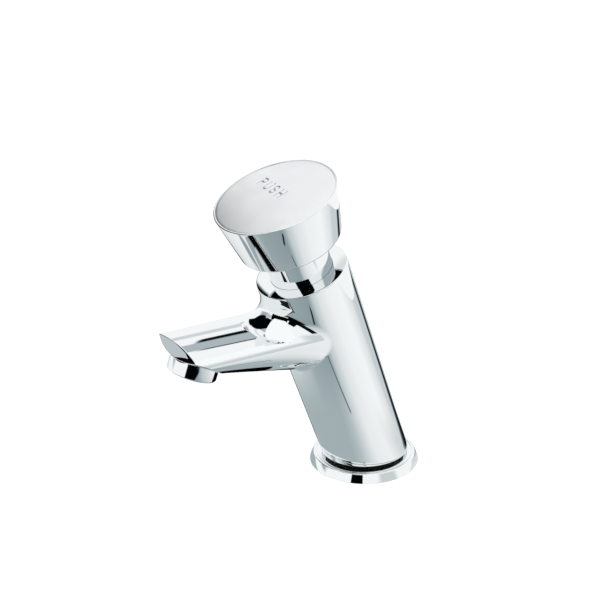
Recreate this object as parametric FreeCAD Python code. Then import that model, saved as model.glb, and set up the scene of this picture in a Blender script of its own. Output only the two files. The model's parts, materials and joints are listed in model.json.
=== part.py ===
import FreeCAD, Part
import math
import os

from FreeCAD import Vector

# Push button self closing basin tap, deck mounted, millimetres.
# The frame: +Z is up, the spout points to -Y, and X = 0 is the plane of symmetry.
# The origin is the centre of the flange's underside, on the deck and on the shank's axis.
# The column leans towards the spout. Heights called "up" are measured along its axis.

# Column
lean_angle = 19.2
column_foot_y = 2.26
column_foot_radius = 18.7
column_top_radius = 20.6
column_length = 106.7
column_foot_round = 2.2
column_rim_round = 0.5

# Flange on the deck
flange_margin = 6.3
flange_slope_width = 2.0
flange_height = 4.0
flange_edge_round = 0.4
flange_groove_inset = 1.4
flange_groove_width = 0.5
flange_groove_depth = 0.4
flange_hole_gap = 0.6
gasket_inset = 2.5
gasket_inner_margin = 3.0
gasket_height = 1.2

# Spout, its top measured down from the front of the column's rim, its length out from the origin
spout_below_rim = 15.2903
spout_crown_radius = 160.0
spout_corner_round = 3.0
spout_flank_step = 0.784
spout_narrowing = 0.6
spout_reach = 92.2
spout_tip_margin = 7.8
spout_root_margin = 1.146
spout_depth = 13.7
spout_depth_back = 15.2
spout_bottom_slope = 0.229
spout_top_blend = 9.5
spout_under_blend = 2.5
blend_change_drop = 4.7
nose_bevel_angle = 40.0
nose_bevel_length = 3.9
nose_lip_drop = 3.5
chin_angle = 28.8
chin_radius = 46.0

# Bores of the body
shank_socket_depth = 14.0
inlet_passage_radius = 8.0
inlet_chamber_bottom = 27.0
inlet_step = 1.2
cartridge_shoulder = 1.2
bonnet_depth = 14.7
waterway_radius = 4.8
waterway_end_back = 21.0
waterway_end_drop = 8.1
nozzle_way_radius = 3.0
nozzle_way_overlap = 4.0
nozzle_way_drop = 6.3

# Aerator at the spout's nose, heights along its own axis from the outlet face
aerator_back = 5.2
aerator_drop = 14.3
aerator_tilt = 19.8
aerator_radius = 11.1
aerator_length = 7.4
aerator_edge_round = 0.8
aerator_wall = 1.4
boss_wall = 2.1
boss_bottom = 4.0
boss_bore_top = 9.0
outlet_inset = 2.9
outlet_lip = 0.5
screen_ledge = 0.6
screen_thickness = 0.5
screen_pitch = 2.0
screen_hole = 1.5
insert_thickness = 2.2
insert_dome_inset = 0.5
insert_dome_top = 6.3
insert_dome_round = 1.2
insert_hole_radius = 0.9
insert_hole_pitch = 2.9

# Shank and the clamping parts under the deck
shank_radius = 10.4
shank_bore_radius = 6.5
shank_bottom = -46.0
tail_relief_width = 1.6
tail_relief_depth = 0.9
deck_thickness = 15.0
rubber_washer_thickness = 3.0
metal_washer_thickness = 2.0
clamp_washer_inset = 1.0
lock_nut_across_flats = 30.0
lock_nut_height = 8.0
filter_thickness = 1.2
filter_hole_radius = 0.9
filter_hole_pitch = 2.6

# Bonnet, the visible neck under the button
neck_radius = 13.9
neck_show = 17.3
neck_edge_round = 0.8
guide_bush_wall = 3.0
guide_bush_length = 12.0
seal_recess_depth = 3.0

# Cartridge
sleeve_length = 42.0
sleeve_wall = 2.3
seat_rise = 10.0
seat_thickness = 2.5
seat_ledge = 3.9
port_rise = 8.0
port_radius = 3.2
piston_drop = 8.0
piston_height = 6.0
metering_pin_radius = 0.8
metering_pin_inset = 3.5

# Stem and valve
stem_radius = 3.0
stem_thread_step = 0.8
stem_end_drop = 5.9
valve_washer_overlap = 2.1
valve_washer_thickness = 2.4
valve_holder_thickness = 2.2
valve_nut_across_flats = 7.0
valve_nut_height = 3.4
clip_thickness = 0.8
clip_gap = 0.5

# Return spring round the stem
spring_wire = 1.2
spring_margin = 1.1
spring_turns = 6.0

# Push button
button_travel = 9.0
button_overlap = 1.9
button_height = 23.8
button_bottom_radius = 22.5
button_top_radius = 27.5
button_wall = 2.2
button_roof = 3.2
button_edge_round = 2.5
button_hub_wall = 4.0
button_rim_width = 1.0
plate_thickness = 1.6
plate_dome = 0.8
screw_wall = 1.1
screw_length = 9.0
screw_head_overhang = 1.7
screw_head_height = 1.4
lock_washer_thickness = 0.6

# Word on the button
word = "PUSH"
word_x = -6.7
word_y = 2.2
letter_height = 5.6
letter_width = 3.6
letter_pitch = 5.2
letter_stroke = 0.7
letter_depth = 0.35

# Clearances
thread_clearance = 0.1
fit_clearance = 0.1
running_clearance = 0.05
seal_clearance = 0.03
valve_clearance = 0.1
spring_end_gap = 0.3

# Column, flange and neck, sizes that follow from the ones above
lean = math.radians(lean_angle)
foot_plane = flange_height
taper = (column_top_radius - column_foot_radius) / column_length
rim_front_height = column_length * math.cos(lean) - column_top_radius * math.sin(lean)
flange_radius = column_foot_radius + flange_margin
flange_top_radius = flange_radius - flange_slope_width
flange_groove_radius = flange_top_radius - flange_groove_inset
flange_hole_radius = shank_radius + flange_hole_gap
gasket_outer_radius = flange_radius - gasket_inset
gasket_inner_radius = flange_hole_radius + gasket_inner_margin
neck_top = column_length + neck_show
bonnet_bore_bottom = column_length - bonnet_depth
bonnet_bore_radius = neck_radius + thread_clearance

# Spout and aerator, sizes that follow
spout_top_height = rim_front_height - spout_below_rim
spout_top_up = spout_top_height / math.cos(lean)
spout_root_half_width = column_foot_radius + taper * spout_top_up - spout_flank_step
spout_tip_half_width = spout_root_half_width - spout_narrowing
spout_tip_y = -spout_reach - spout_tip_margin
spout_root_y = column_foot_y - spout_top_up * math.sin(lean) + spout_root_margin
spout_bottom_y = -spout_reach + spout_depth_back
spout_bottom_height = spout_top_height - spout_depth
blend_change_height = spout_top_height - blend_change_drop
nose_edge_y = -spout_reach
nose_lip_y = nose_edge_y - nose_bevel_length
nose_lip_height = spout_top_height - nose_lip_drop
aerator_y = nose_edge_y + aerator_back
aerator_height = spout_top_height - aerator_drop
housing_bore_radius = aerator_radius - aerator_wall
boss_radius = housing_bore_radius - thread_clearance
boss_bore_radius = boss_radius - boss_wall
outlet_radius = aerator_radius - outlet_inset
screen_radius = outlet_radius + screen_ledge
insert_bottom = outlet_lip + screen_thickness
insert_top = insert_bottom + insert_thickness
insert_dome_radius = boss_bore_radius - insert_dome_inset

# Cartridge, valve and waterway, sizes that follow
cartridge_bore_radius = bonnet_bore_radius - cartridge_shoulder
cartridge_bore_bottom = bonnet_bore_bottom - sleeve_length
inlet_chamber_radius = cartridge_bore_radius - inlet_step
inlet_passage_top = inlet_chamber_bottom + 1.0
sleeve_outer_radius = cartridge_bore_radius - fit_clearance
sleeve_inner_radius = sleeve_outer_radius - sleeve_wall
seat_bottom = cartridge_bore_bottom + seat_rise
seat_top = seat_bottom + seat_thickness
seat_bore_radius = sleeve_inner_radius - seat_ledge
port_height = seat_bottom + port_rise
waterway_root_up = port_height
waterway_end_y = aerator_y + waterway_end_back
waterway_end_height = spout_top_height - waterway_end_drop
nozzle_way_start_y = waterway_end_y + nozzle_way_overlap
nozzle_way_end_y = aerator_y
nozzle_way_height = spout_top_height - nozzle_way_drop
valve_washer_radius = seat_bore_radius + valve_washer_overlap
valve_washer_top = seat_bottom - valve_clearance
valve_washer_bottom = valve_washer_top - valve_washer_thickness
valve_holder_bottom = valve_washer_bottom - valve_holder_thickness
valve_nut_bottom = valve_holder_bottom - valve_nut_height
piston_bottom = bonnet_bore_bottom - piston_drop
piston_top = piston_bottom + piston_height
metering_pin_place = sleeve_inner_radius - metering_pin_inset
pin_head_radius = metering_pin_radius + 0.6
clip_radius = metering_pin_place - pin_head_radius - clip_gap
spring_mean_radius = seat_bore_radius + spring_margin
spring_bottom = seat_top + spring_end_gap
spring_top = piston_bottom - spring_end_gap

# Button and stem, sizes that follow
button_bottom = neck_top - button_overlap
button_top = button_bottom + button_height
button_slope = (button_top_radius - button_bottom_radius) / (button_top - button_bottom)
plate_radius = button_top_radius - button_rim_width - fit_clearance
plate_seat = button_top - plate_thickness
roof_bottom = plate_seat - button_roof
hub_bottom = neck_top + button_travel + 1.0
button_hub_radius = stem_radius + button_hub_wall
guide_bush_radius = stem_radius + guide_bush_wall
stem_thread_radius = stem_radius - stem_thread_step
stem_bottom = valve_nut_bottom - 0.6
stem_top = button_top - stem_end_drop
screw_radius = stem_radius - screw_wall
screw_head_radius = screw_radius + screw_head_overhang

# Shank and clamping parts, sizes that follow
shank_top = foot_plane + shank_socket_depth - filter_thickness
clamp_washer_radius = flange_radius - clamp_washer_inset
rubber_washer_top = -deck_thickness
metal_washer_top = rubber_washer_top - rubber_washer_thickness
lock_nut_top = metal_washer_top - metal_washer_thickness
lock_nut_bottom = lock_nut_top - lock_nut_height


def cylinder(radius, low, high, x=0.0, y=0.0):
    return Part.makeCylinder(radius, high - low, Vector(x, y, low))


def ring(outer, inner, low, high):
    return cylinder(outer, low, high).cut(cylinder(inner, low - 1.0, high + 1.0))


def cone(low_radius, high_radius, low, high):
    return Part.makeCone(low_radius, high_radius, high - low, Vector(0, 0, low))


def hexagon(across_flats, low, high):
    corner = across_flats / math.sqrt(3.0)
    points = []
    for i in range(7):
        angle = math.radians(60.0 * i)
        points.append(Vector(corner * math.cos(angle), corner * math.sin(angle), low))
    face = Part.Face(Part.makePolygon(points))
    return face.extrude(Vector(0, 0, high - low))


def on_column(shape):
    # The column's own frame: Z runs up the leaning axis from the deck.
    placed = shape.copy()
    placed.rotate(Vector(0, 0, 0), Vector(1, 0, 0), lean_angle)
    placed.translate(Vector(0, column_foot_y, 0))
    return placed


def on_aerator(shape):
    # The aerator's own frame: Z runs up its axis from the outlet face.
    placed = shape.copy()
    placed.rotate(Vector(0, 0, 0), Vector(1, 0, 0), -aerator_tilt)
    placed.translate(Vector(0, aerator_y, aerator_height))
    return placed


def column_point(up):
    return Vector(0, column_foot_y - up * math.sin(lean), up * math.cos(lean))


def round_edges(shape, radius, wanted):
    edges = [edge for edge in shape.Edges if wanted(edge)]
    return shape.makeFillet(radius, edges)


def o_ring(outer, inner, middle):
    # A round rubber ring that fills the space between two round walls.
    wire = (outer - inner) / 2.0 - seal_clearance
    return Part.makeTorus((outer + inner) / 2.0, wire, Vector(0, 0, middle))


def column_radius(up):
    return column_foot_radius + taper * up


def column_solid():
    low = -15.0
    shape = cone(column_radius(low), column_radius(column_length), low, column_length)
    shape.rotate(Vector(0, 0, 0), Vector(0, 0, 1), 90)
    shape = on_column(shape)
    below = Part.makeBox(200, 200, 100, Vector(-100, -100, foot_plane - 100))
    shape = shape.cut(below)
    shape = round_edges(shape, column_foot_round, lambda e: e.BoundBox.ZMax < foot_plane + 0.01)
    return shape


def spout_section(y, half_width):
    # Crowned top, rounded shoulders and a half ellipse underneath, all tangent to each other.
    bottom = spout_bottom_height - spout_bottom_slope * (y - spout_bottom_y)
    crown_centre = spout_top_height - spout_crown_radius
    reach = spout_crown_radius - spout_corner_round
    inner = half_width - spout_corner_round
    shoulder = crown_centre + math.sqrt(reach * reach - inner * inner)
    turn = math.atan2(inner, shoulder - crown_centre)
    end_x = spout_crown_radius * math.sin(turn)
    end_z = crown_centre + spout_crown_radius * math.cos(turn)
    half = (turn + math.pi / 2.0) / 2.0
    bend_x = inner + spout_corner_round * math.sin(half)
    bend_z = shoulder + spout_corner_round * math.cos(half)
    left = Vector(-half_width, y, shoulder)
    right = Vector(half_width, y, shoulder)
    crown = Part.Arc(Vector(-end_x, y, end_z), Vector(0, y, spout_top_height), Vector(end_x, y, end_z)).toShape()
    near = Part.Arc(Vector(end_x, y, end_z), Vector(bend_x, y, bend_z), right).toShape()
    far = Part.Arc(left, Vector(-bend_x, y, bend_z), Vector(-end_x, y, end_z)).toShape()
    return crown, near, far, under_curve(y, half_width, shoulder, bottom)


def under_curve(y, half_width, shoulder, bottom):
    # The lower half of an ellipse between the two shoulders.
    left = Vector(-half_width, y, shoulder)
    right = Vector(half_width, y, shoulder)
    low = Vector(0, y, bottom)
    centre = Vector(0, y, shoulder)
    if half_width > shoulder - bottom:
        ellipse = Part.Ellipse(right, low, centre)
    else:
        ellipse = Part.Ellipse(low, right, centre)
    one = ellipse.parameter(right)
    two = ellipse.parameter(left)
    span = (two - one) % (2.0 * math.pi)
    if (ellipse.parameter(low) - one) % (2.0 * math.pi) < span:
        return Part.ArcOfEllipse(ellipse, one, one + span).toShape()
    return Part.ArcOfEllipse(ellipse, two, two + 2.0 * math.pi - span).toShape()


def section_wire(y, half_width):
    return Part.Wire(Part.__sortEdges__(list(spout_section(y, half_width))))


def spout_solid():
    tip = section_wire(spout_tip_y, spout_tip_half_width)
    root = section_wire(spout_root_y, spout_root_half_width)
    shape = Part.makeLoft([tip, root], True, True)
    shape = shape.common(chin_cylinder())
    return shape.cut(bevel_block())


def chin_cylinder():
    # The chin is the underside of a large cylinder that runs down and back from the lip.
    angle = math.radians(chin_angle)
    along = Vector(0, math.cos(angle), -math.sin(angle))
    upward = Vector(0, math.sin(angle), math.cos(angle))
    lip = Vector(0, nose_lip_y, nose_lip_height)
    start = lip + upward * chin_radius - along * 60.0
    return Part.makeCylinder(chin_radius, 260.0, start, along)


def bevel_block():
    # Everything in front of the plane that slopes down and forward from the top edge.
    edge_height = spout_top_height
    block = Part.makeBox(80, 60, 60, Vector(-40, -60, 0))
    block.rotate(Vector(0, 0, 0), Vector(1, 0, 0), nose_bevel_angle)
    block.translate(Vector(0, nose_edge_y, edge_height))
    return block


def waterway():
    # A wide drilling from the cartridge, then a narrow one to the aerator.
    start = column_point(waterway_root_up)
    end = Vector(0, waterway_end_y, waterway_end_height)
    wide = Part.makeCylinder(waterway_radius, (end - start).Length, start, end - start)
    near = Vector(0, nozzle_way_start_y, nozzle_way_height)
    length = nozzle_way_start_y - nozzle_way_end_y
    return wide.fuse(Part.makeCylinder(nozzle_way_radius, length, near, Vector(0, -1, 0)))


def tap_body():
    shape = round_edges(blended_casting(), column_rim_round, is_column_rim)
    shape = shape.cut(on_aerator(cylinder(aerator_radius + fit_clearance, -6.0, aerator_length + fit_clearance)))
    shape = shape.fuse(on_aerator(cylinder(boss_radius, boss_bottom, boss_bore_top)))
    shape = shape.cut(on_aerator(cylinder(boss_bore_radius, -6.0, boss_bore_top)))
    for bore in body_bores():
        shape = shape.cut(bore)
    return shape.cut(waterway()).removeSplitter()


def is_column_rim(edge):
    if edge.Length < 2.0 * column_top_radius:
        return False
    rim = column_point(column_length)
    axis = column_point(column_length + 1.0) - rim
    return all(abs((edge.valueAt(p) - rim).dot(axis)) < 0.01 for p in edge.ParameterRange)


def blend_root(shape, radius):
    # A fillet of one radius all round the line where the spout grows out of the column.
    foot = column_point(0.0)
    axis = column_point(1.0) - foot

    def on_wall(point):
        up = (point - foot).dot(axis)
        out = ((point - foot) - axis * up).Length
        return abs(out - column_radius(up)) < 0.02 and point.y < -8.0

    def wanted(edge):
        first, last = edge.ParameterRange
        samples = [edge.valueAt(first + (last - first) * k / 6.0) for k in range(7)]
        inside = [p.z > foot_plane + 20.0 and p.z < spout_top_height + 4.0 for p in samples]
        seam = edge.Curve.TypeId == "Part::GeomLine"
        return all(inside) and all(on_wall(p) for p in samples) and not seam

    return round_edges(shape, radius, wanted)


def blended_casting():
    # The blend is wide over the spout and tight under it, and changes at its steep flanks.
    sharp = column_solid().fuse(spout_solid()).removeSplitter()
    wide = blend_root(sharp, spout_top_blend)
    tight = blend_root(sharp, spout_under_blend)
    above = Part.makeBox(200, 200, 100, Vector(-100, -150, blend_change_height))
    below = Part.makeBox(200, 200, 100, Vector(-100, -150, blend_change_height - 100))
    return tight.common(below).fuse(wide.common(above)).removeSplitter()


def body_bores():
    socket = cylinder(shank_radius + thread_clearance, foot_plane - 5.0, foot_plane + shank_socket_depth)
    passage = cylinder(inlet_passage_radius, foot_plane, inlet_passage_top)
    chamber = on_column(cylinder(inlet_chamber_radius, inlet_chamber_bottom, cartridge_bore_bottom + 0.5))
    cartridge = on_column(cylinder(cartridge_bore_radius, cartridge_bore_bottom, bonnet_bore_bottom + 0.5))
    bonnet_bore = on_column(cylinder(bonnet_bore_radius, bonnet_bore_bottom, column_length + 5.0))
    return [socket, passage, chamber, cartridge, bonnet_bore]


def base_flange():
    shape = cone(flange_radius, flange_top_radius, 0.0, flange_height)
    shape = round_edges(shape, flange_edge_round, lambda e: e.BoundBox.ZMin > flange_height - 0.01)
    outer = flange_groove_radius + flange_groove_width / 2.0
    inner = flange_groove_radius - flange_groove_width / 2.0
    shape = shape.cut(ring(outer, inner, flange_height - flange_groove_depth, flange_height + 1.0))
    shape = shape.cut(cylinder(flange_hole_radius, -1.0, flange_height + 1.0))
    recess = ring(gasket_outer_radius, gasket_inner_radius, -1.0, gasket_height)
    return shape.cut(recess)


def flange_gasket():
    outer = gasket_outer_radius - fit_clearance
    return ring(outer, gasket_inner_radius + fit_clearance, 0.0, gasket_height)


def shank():
    shape = ring(shank_radius, shank_bore_radius, shank_bottom, shank_top)
    groove = ring(shank_radius + 1.0, shank_radius - 1.6, foot_plane + 1.0, foot_plane + 3.2)
    relief_low = lock_nut_bottom - tail_relief_width
    relief = ring(shank_radius + 1.0, shank_radius - tail_relief_depth, relief_low, lock_nut_bottom)
    return shape.cut(groove).cut(relief)


def shank_o_ring():
    return o_ring(shank_radius + thread_clearance, shank_radius - 1.6, foot_plane + 2.1)


def hole_grid(pitch, reach):
    # Hexagonal grid of points inside a circle.
    points = []
    rows = int(reach / (pitch * 0.866)) + 1
    for row in range(-rows, rows + 1):
        y = row * pitch * 0.866
        shift = 0.5 * pitch * (row % 2)
        for column in range(-rows - 1, rows + 2):
            x = column * pitch + shift
            if math.hypot(x, y) < reach:
                points.append((x, y))
    return points


def perforate(shape, radius, pitch, reach, low, high):
    holes = [cylinder(radius, low - 0.5, high + 0.5, x, y) for x, y in hole_grid(pitch, reach)]
    return shape.cut(Part.makeCompound(holes))


def inlet_filter():
    low = shank_top
    high = foot_plane + shank_socket_depth
    disc = cylinder(shank_radius - 0.3, low, high)
    return perforate(disc, filter_hole_radius, filter_hole_pitch, shank_bore_radius - filter_hole_radius, low, high)


def clamp_washer(top, thickness):
    inner = shank_radius + 2.0 * fit_clearance
    return ring(clamp_washer_radius, inner, top - thickness, top)


def lock_nut():
    shape = hexagon(lock_nut_across_flats, lock_nut_bottom, lock_nut_top)
    bevel = cone(lock_nut_across_flats / 2.0 + 0.6, lock_nut_across_flats / 2.0 + 12.0, lock_nut_bottom, lock_nut_top)
    shape = shape.common(bevel)
    return shape.cut(cylinder(shank_radius + thread_clearance, lock_nut_bottom - 1.0, lock_nut_top + 1.0))


def bonnet():
    shape = cylinder(neck_radius, bonnet_bore_bottom, neck_top)
    shape = round_edges(shape, neck_edge_round, lambda e: e.BoundBox.ZMin > neck_top - 0.01)
    shape = shape.cut(cylinder(stem_radius + 2.0, bonnet_bore_bottom - 1.0, neck_top + 1.0))
    shape = shape.cut(cylinder(guide_bush_radius, neck_top - guide_bush_length, neck_top + 1.0))
    pocket = cylinder(sleeve_inner_radius - 1.5, bonnet_bore_bottom - 1.0, bonnet_bore_bottom + 5.0)
    shape = shape.cut(pocket)
    groove = ring(neck_radius + 1.0, neck_radius - 1.9, bonnet_bore_bottom + 3.0, bonnet_bore_bottom + 5.4)
    return shape.cut(groove)


def bonnet_o_ring():
    return o_ring(bonnet_bore_radius, neck_radius - 1.9, bonnet_bore_bottom + 4.2)


def guide_bush():
    low = neck_top - guide_bush_length
    shape = ring(guide_bush_radius - running_clearance, stem_radius + running_clearance, low, neck_top - 0.4)
    recess = ring(stem_radius + 1.6, stem_radius, neck_top - 0.4 - seal_recess_depth, neck_top)
    return shape.cut(recess)


def stem_wiper():
    low = neck_top - 0.4 - seal_recess_depth
    return ring(stem_radius + 1.6 - seal_clearance, stem_radius + running_clearance, low, neck_top - 0.8)


def stem_seal():
    middle = neck_top - guide_bush_length - 1.05
    return o_ring(stem_radius + 2.0, stem_radius + running_clearance, middle)


def seal_carrier():
    # Washer pressed under the bush that keeps the stem's seal in place.
    high = neck_top - guide_bush_length - 2.1
    return ring(stem_radius + 2.0 - seal_clearance, stem_radius + running_clearance, high - 3.0, high)


def cartridge_sleeve():
    shape = cylinder(sleeve_outer_radius, cartridge_bore_bottom, bonnet_bore_bottom)
    shape = shape.cut(cylinder(sleeve_inner_radius, seat_top, bonnet_bore_bottom + 1.0))
    shape = shape.cut(cylinder(seat_bore_radius, cartridge_bore_bottom - 1.0, seat_top + 1.0))
    shape = shape.cut(cylinder(sleeve_inner_radius, cartridge_bore_bottom - 1.0, seat_bottom))
    for turn in range(4):
        port = Part.makeCylinder(port_radius, 40.0, Vector(0, 0, port_height), Vector(0, -1, 0))
        port.rotate(Vector(0, 0, 0), Vector(0, 0, 1), 90.0 * turn)
        shape = shape.cut(port)
    for low in (sleeve_groove_low(), sleeve_groove_high()):
        groove = ring(sleeve_outer_radius + 1.0, sleeve_outer_radius - 1.3, low, low + 2.0)
        shape = shape.cut(groove)
    gallery = ring(sleeve_outer_radius + 1.0, sleeve_outer_radius - 0.9, port_height - 4.0, port_height + 4.0)
    return shape.cut(gallery)


def sleeve_groove_low():
    return cartridge_bore_bottom + 3.0


def sleeve_groove_high():
    return bonnet_bore_bottom - 6.0


def sleeve_o_ring(low):
    return o_ring(cartridge_bore_radius, sleeve_outer_radius - 1.3, low + 1.0)


def stem():
    shape = cylinder(stem_radius, valve_washer_top, stem_top)
    shape = shape.fuse(cylinder(stem_thread_radius, stem_bottom, valve_washer_top))
    shape = shape.cut(cylinder(screw_radius + thread_clearance, stem_top - screw_length, stem_top + 1.0))
    groove = ring(stem_radius + 1.0, stem_radius - 0.6, piston_top, piston_top + clip_thickness)
    shoulder = ring(stem_radius + 1.2, stem_radius - 0.5, piston_bottom - 2.0, piston_bottom)
    return shape.fuse(shoulder).cut(groove).removeSplitter()


def piston():
    radius = sleeve_inner_radius - running_clearance
    shape = ring(radius, stem_radius + seal_clearance, piston_bottom, piston_top)
    groove = ring(radius + 1.0, radius - 1.8, piston_bottom + 2.0, piston_bottom + 4.2)
    shape = shape.cut(groove)
    bleed = cylinder(metering_pin_radius + running_clearance, piston_bottom - 1.0, piston_top + 1.0, metering_pin_place)
    return shape.cut(bleed)


def piston_seal():
    inner = sleeve_inner_radius - running_clearance - 1.8
    return o_ring(sleeve_inner_radius, inner, piston_bottom + 3.1)


def metering_pin():
    low = piston_bottom + 0.5
    high = piston_top + 1.2
    pin = cylinder(metering_pin_radius, low, high, metering_pin_place)
    head = cylinder(pin_head_radius, piston_top, high, metering_pin_place)
    return pin.fuse(head).removeSplitter()


def piston_clip():
    shape = ring(clip_radius, stem_radius - 0.55, piston_top + 0.05, piston_top + clip_thickness - 0.05)
    mouth = Part.makeBox(2.0 * stem_radius - 1.6, clip_radius + 1.0, 4.0)
    mouth.translate(Vector(0.8 - stem_radius, 0, piston_top - 1.0))
    return shape.cut(mouth)


def valve_washer():
    return ring(valve_washer_radius, stem_thread_radius + fit_clearance, valve_washer_bottom, valve_washer_top)


def valve_holder():
    shape = cylinder(valve_washer_radius + 0.9, valve_holder_bottom, valve_washer_top - 1.0)
    shape = shape.cut(cylinder(valve_washer_radius + fit_clearance, valve_washer_bottom, valve_washer_top))
    return shape.cut(cylinder(stem_thread_radius + fit_clearance, valve_holder_bottom - 1.0, valve_washer_top))


def valve_nut():
    shape = hexagon(valve_nut_across_flats, valve_nut_bottom, valve_holder_bottom)
    return shape.cut(cylinder(stem_thread_radius + fit_clearance, valve_nut_bottom - 1.0, valve_holder_bottom + 1.0))


def helix_point(turn, rise, low):
    angle = 2.0 * math.pi * turn
    x = spring_mean_radius * math.cos(angle)
    y = spring_mean_radius * math.sin(angle)
    return Vector(x, y, low + rise * turn)


def helix_direction(turn, rise):
    angle = 2.0 * math.pi * turn
    around = 2.0 * math.pi * spring_mean_radius
    return Vector(-around * math.sin(angle), around * math.cos(angle), rise).normalize()


def tangent_arc(start, direction, end):
    # The arc that leaves start along direction and ends at end.
    chord = end - start
    unit = Vector(chord).normalize()
    side = direction - unit * direction.dot(unit)
    angle = math.acos(max(-1.0, min(1.0, direction.dot(unit))))
    middle = (start + end) * 0.5 + Vector(side).normalize() * (chord.Length / 2.0 * math.tan(angle / 2.0))
    return Part.Arc(start, middle, end).toShape()


def biarc(start, leave, end, arrive):
    # Two tangent arcs between two points with given directions.
    span = end - start
    both = leave + arrive
    a = 2.0 * (leave.dot(arrive) - 1.0)
    b = -2.0 * span.dot(both)
    c = span.dot(span)
    reach = (-b - math.sqrt(b * b - 4.0 * a * c)) / (2.0 * a)
    joint = (start + leave * reach + end - arrive * reach) * 0.5
    first = tangent_arc(start, leave, joint)
    back = tangent_arc(end, arrive * -1.0, joint)
    return [first, back]


def return_spring():
    low = spring_bottom + spring_wire / 2.0
    high = spring_top - spring_wire / 2.0
    rise = (high - low) / spring_turns
    edges = []
    quarters = int(round(spring_turns * 4))
    for quarter in range(quarters):
        one = quarter / 4.0
        two = (quarter + 1) / 4.0
        edges += biarc(helix_point(one, rise, low), helix_direction(one, rise),
                       helix_point(two, rise, low), helix_direction(two, rise))
    path = Part.Wire(Part.__sortEdges__(edges))
    section = Part.Circle(helix_point(0.0, rise, low), helix_direction(0.0, rise), spring_wire / 2.0).toShape()
    pipe = path.makePipeShell([Part.Wire([section])], True, False)
    gap = rise - spring_wire
    print("spring: pitch %.2f mm, least gap between turns %.2f mm" % (rise, gap))
    return pipe


def button_radius(up):
    return button_bottom_radius + button_slope * (up - button_bottom)


def push_cap():
    shape = cone(button_bottom_radius, button_top_radius, button_bottom, button_top)
    shape = round_edges(shape, button_edge_round, lambda e: e.BoundBox.ZMax < button_bottom + 0.01)
    inner_low = button_radius(button_bottom) - button_wall
    inner_high = button_radius(roof_bottom) - button_wall
    shape = shape.cut(cone(inner_low, inner_high, button_bottom, roof_bottom))
    shape = shape.cut(cylinder(inner_low, button_bottom - 1.0, button_bottom))
    shape = shape.fuse(cylinder(button_hub_radius, hub_bottom, roof_bottom + 0.5))
    shape = shape.cut(cylinder(plate_radius + fit_clearance, plate_seat, button_top + 1.0))
    shape = shape.cut(cylinder(stem_radius + seal_clearance, hub_bottom - 1.0, stem_top))
    shape = shape.cut(cylinder(screw_radius + fit_clearance, stem_top - 1.0, button_top))
    pocket = cylinder(screw_head_radius + fit_clearance, screw_seat(), button_top)
    return shape.cut(pocket).removeSplitter()


def screw_seat():
    return plate_seat - screw_head_height - lock_washer_thickness


def cap_screw():
    top = screw_seat() + lock_washer_thickness + screw_head_height
    head = cylinder(screw_head_radius - 0.2, top - screw_head_height, top - 0.1)
    rod = cylinder(screw_radius, stem_top - screw_length + 1.0, top - screw_head_height)
    slot = Part.makeBox(2.0 * screw_head_radius, 0.9, 0.7)
    slot.translate(Vector(-screw_head_radius, -0.45, top - 0.8))
    return head.fuse(rod).cut(slot).removeSplitter()


def lock_washer():
    low = screw_seat()
    return ring(screw_head_radius - 0.3, screw_radius + fit_clearance, low, low + lock_washer_thickness)


def bar(x0, y0, x1, y1):
    # One straight stroke of a letter, cut square at its ends.
    start = Vector(x0, y0, 0)
    end = Vector(x1, y1, 0)
    along = Vector(end - start).normalize()
    side = Vector(-along.y, along.x, 0) * (letter_stroke / 2.0)
    points = [start + side, start - side, end - side, end + side, start + side]
    return Part.Face(Part.makePolygon(points)).extrude(Vector(0, 0, 3.0))


def bow(x, y, radius, low, high):
    # One curved stroke of a letter, from angle low to angle high.
    outer = radius + letter_stroke / 2.0
    inner = radius - letter_stroke / 2.0
    shape = Part.makeCylinder(outer, 3.0, Vector(x, y, 0), Vector(0, 0, 1), high - low)
    shape.rotate(Vector(x, y, 0), Vector(0, 0, 1), low)
    return shape.cut(cylinder(inner, -1.0, 4.0, x, y))


def letter_p():
    h = letter_height
    w = letter_width
    s = letter_stroke / 2.0
    r = h * 0.27 - s
    top = h - s
    strokes = [bar(s, 0, s, h), bar(0, top, w - r - s, top), bar(0, top - 2 * r, w - r - s, top - 2 * r)]
    return strokes + [bow(w - r - s, top - r, r, -90, 90)]


def letter_u():
    h = letter_height
    w = letter_width
    s = letter_stroke / 2.0
    r = w / 2.0 - s
    return [bar(s, w / 2.0, s, h), bar(w - s, w / 2.0, w - s, h), bow(w / 2.0, w / 2.0, r, 180, 360)]


def letter_s():
    h = letter_height
    w = letter_width
    s = letter_stroke / 2.0
    r = (h - 2 * s) / 4.0
    x = w / 2.0
    upper = bow(x, h - s - r, r, 20, 270)
    lower = bow(x, s + r, r, -160, 90)
    return [upper, lower]


def letter_h():
    h = letter_height
    w = letter_width
    s = letter_stroke / 2.0
    return [bar(s, 0, s, h), bar(w - s, 0, w - s, h), bar(0, h / 2.0, w, h / 2.0)]


def word_cutter():
    makers = {"P": letter_p, "U": letter_u, "S": letter_s, "H": letter_h}
    length = letter_pitch * (len(word) - 1) + letter_width
    solids = []
    for place, letter in enumerate(word):
        x = word_x - length / 2.0 + place * letter_pitch
        y = word_y - letter_height / 2.0
        for stroke in makers[letter]():
            stroke.translate(Vector(x, y, 0))
            solids.append(stroke)
    shape = solids[0].multiFuse(solids[1:])
    return shape


def plate_surface_radius():
    # Radius of the dome that rises plate_dome over the plate's radius.
    return (plate_radius * plate_radius + plate_dome * plate_dome) / (2.0 * plate_dome)


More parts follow.
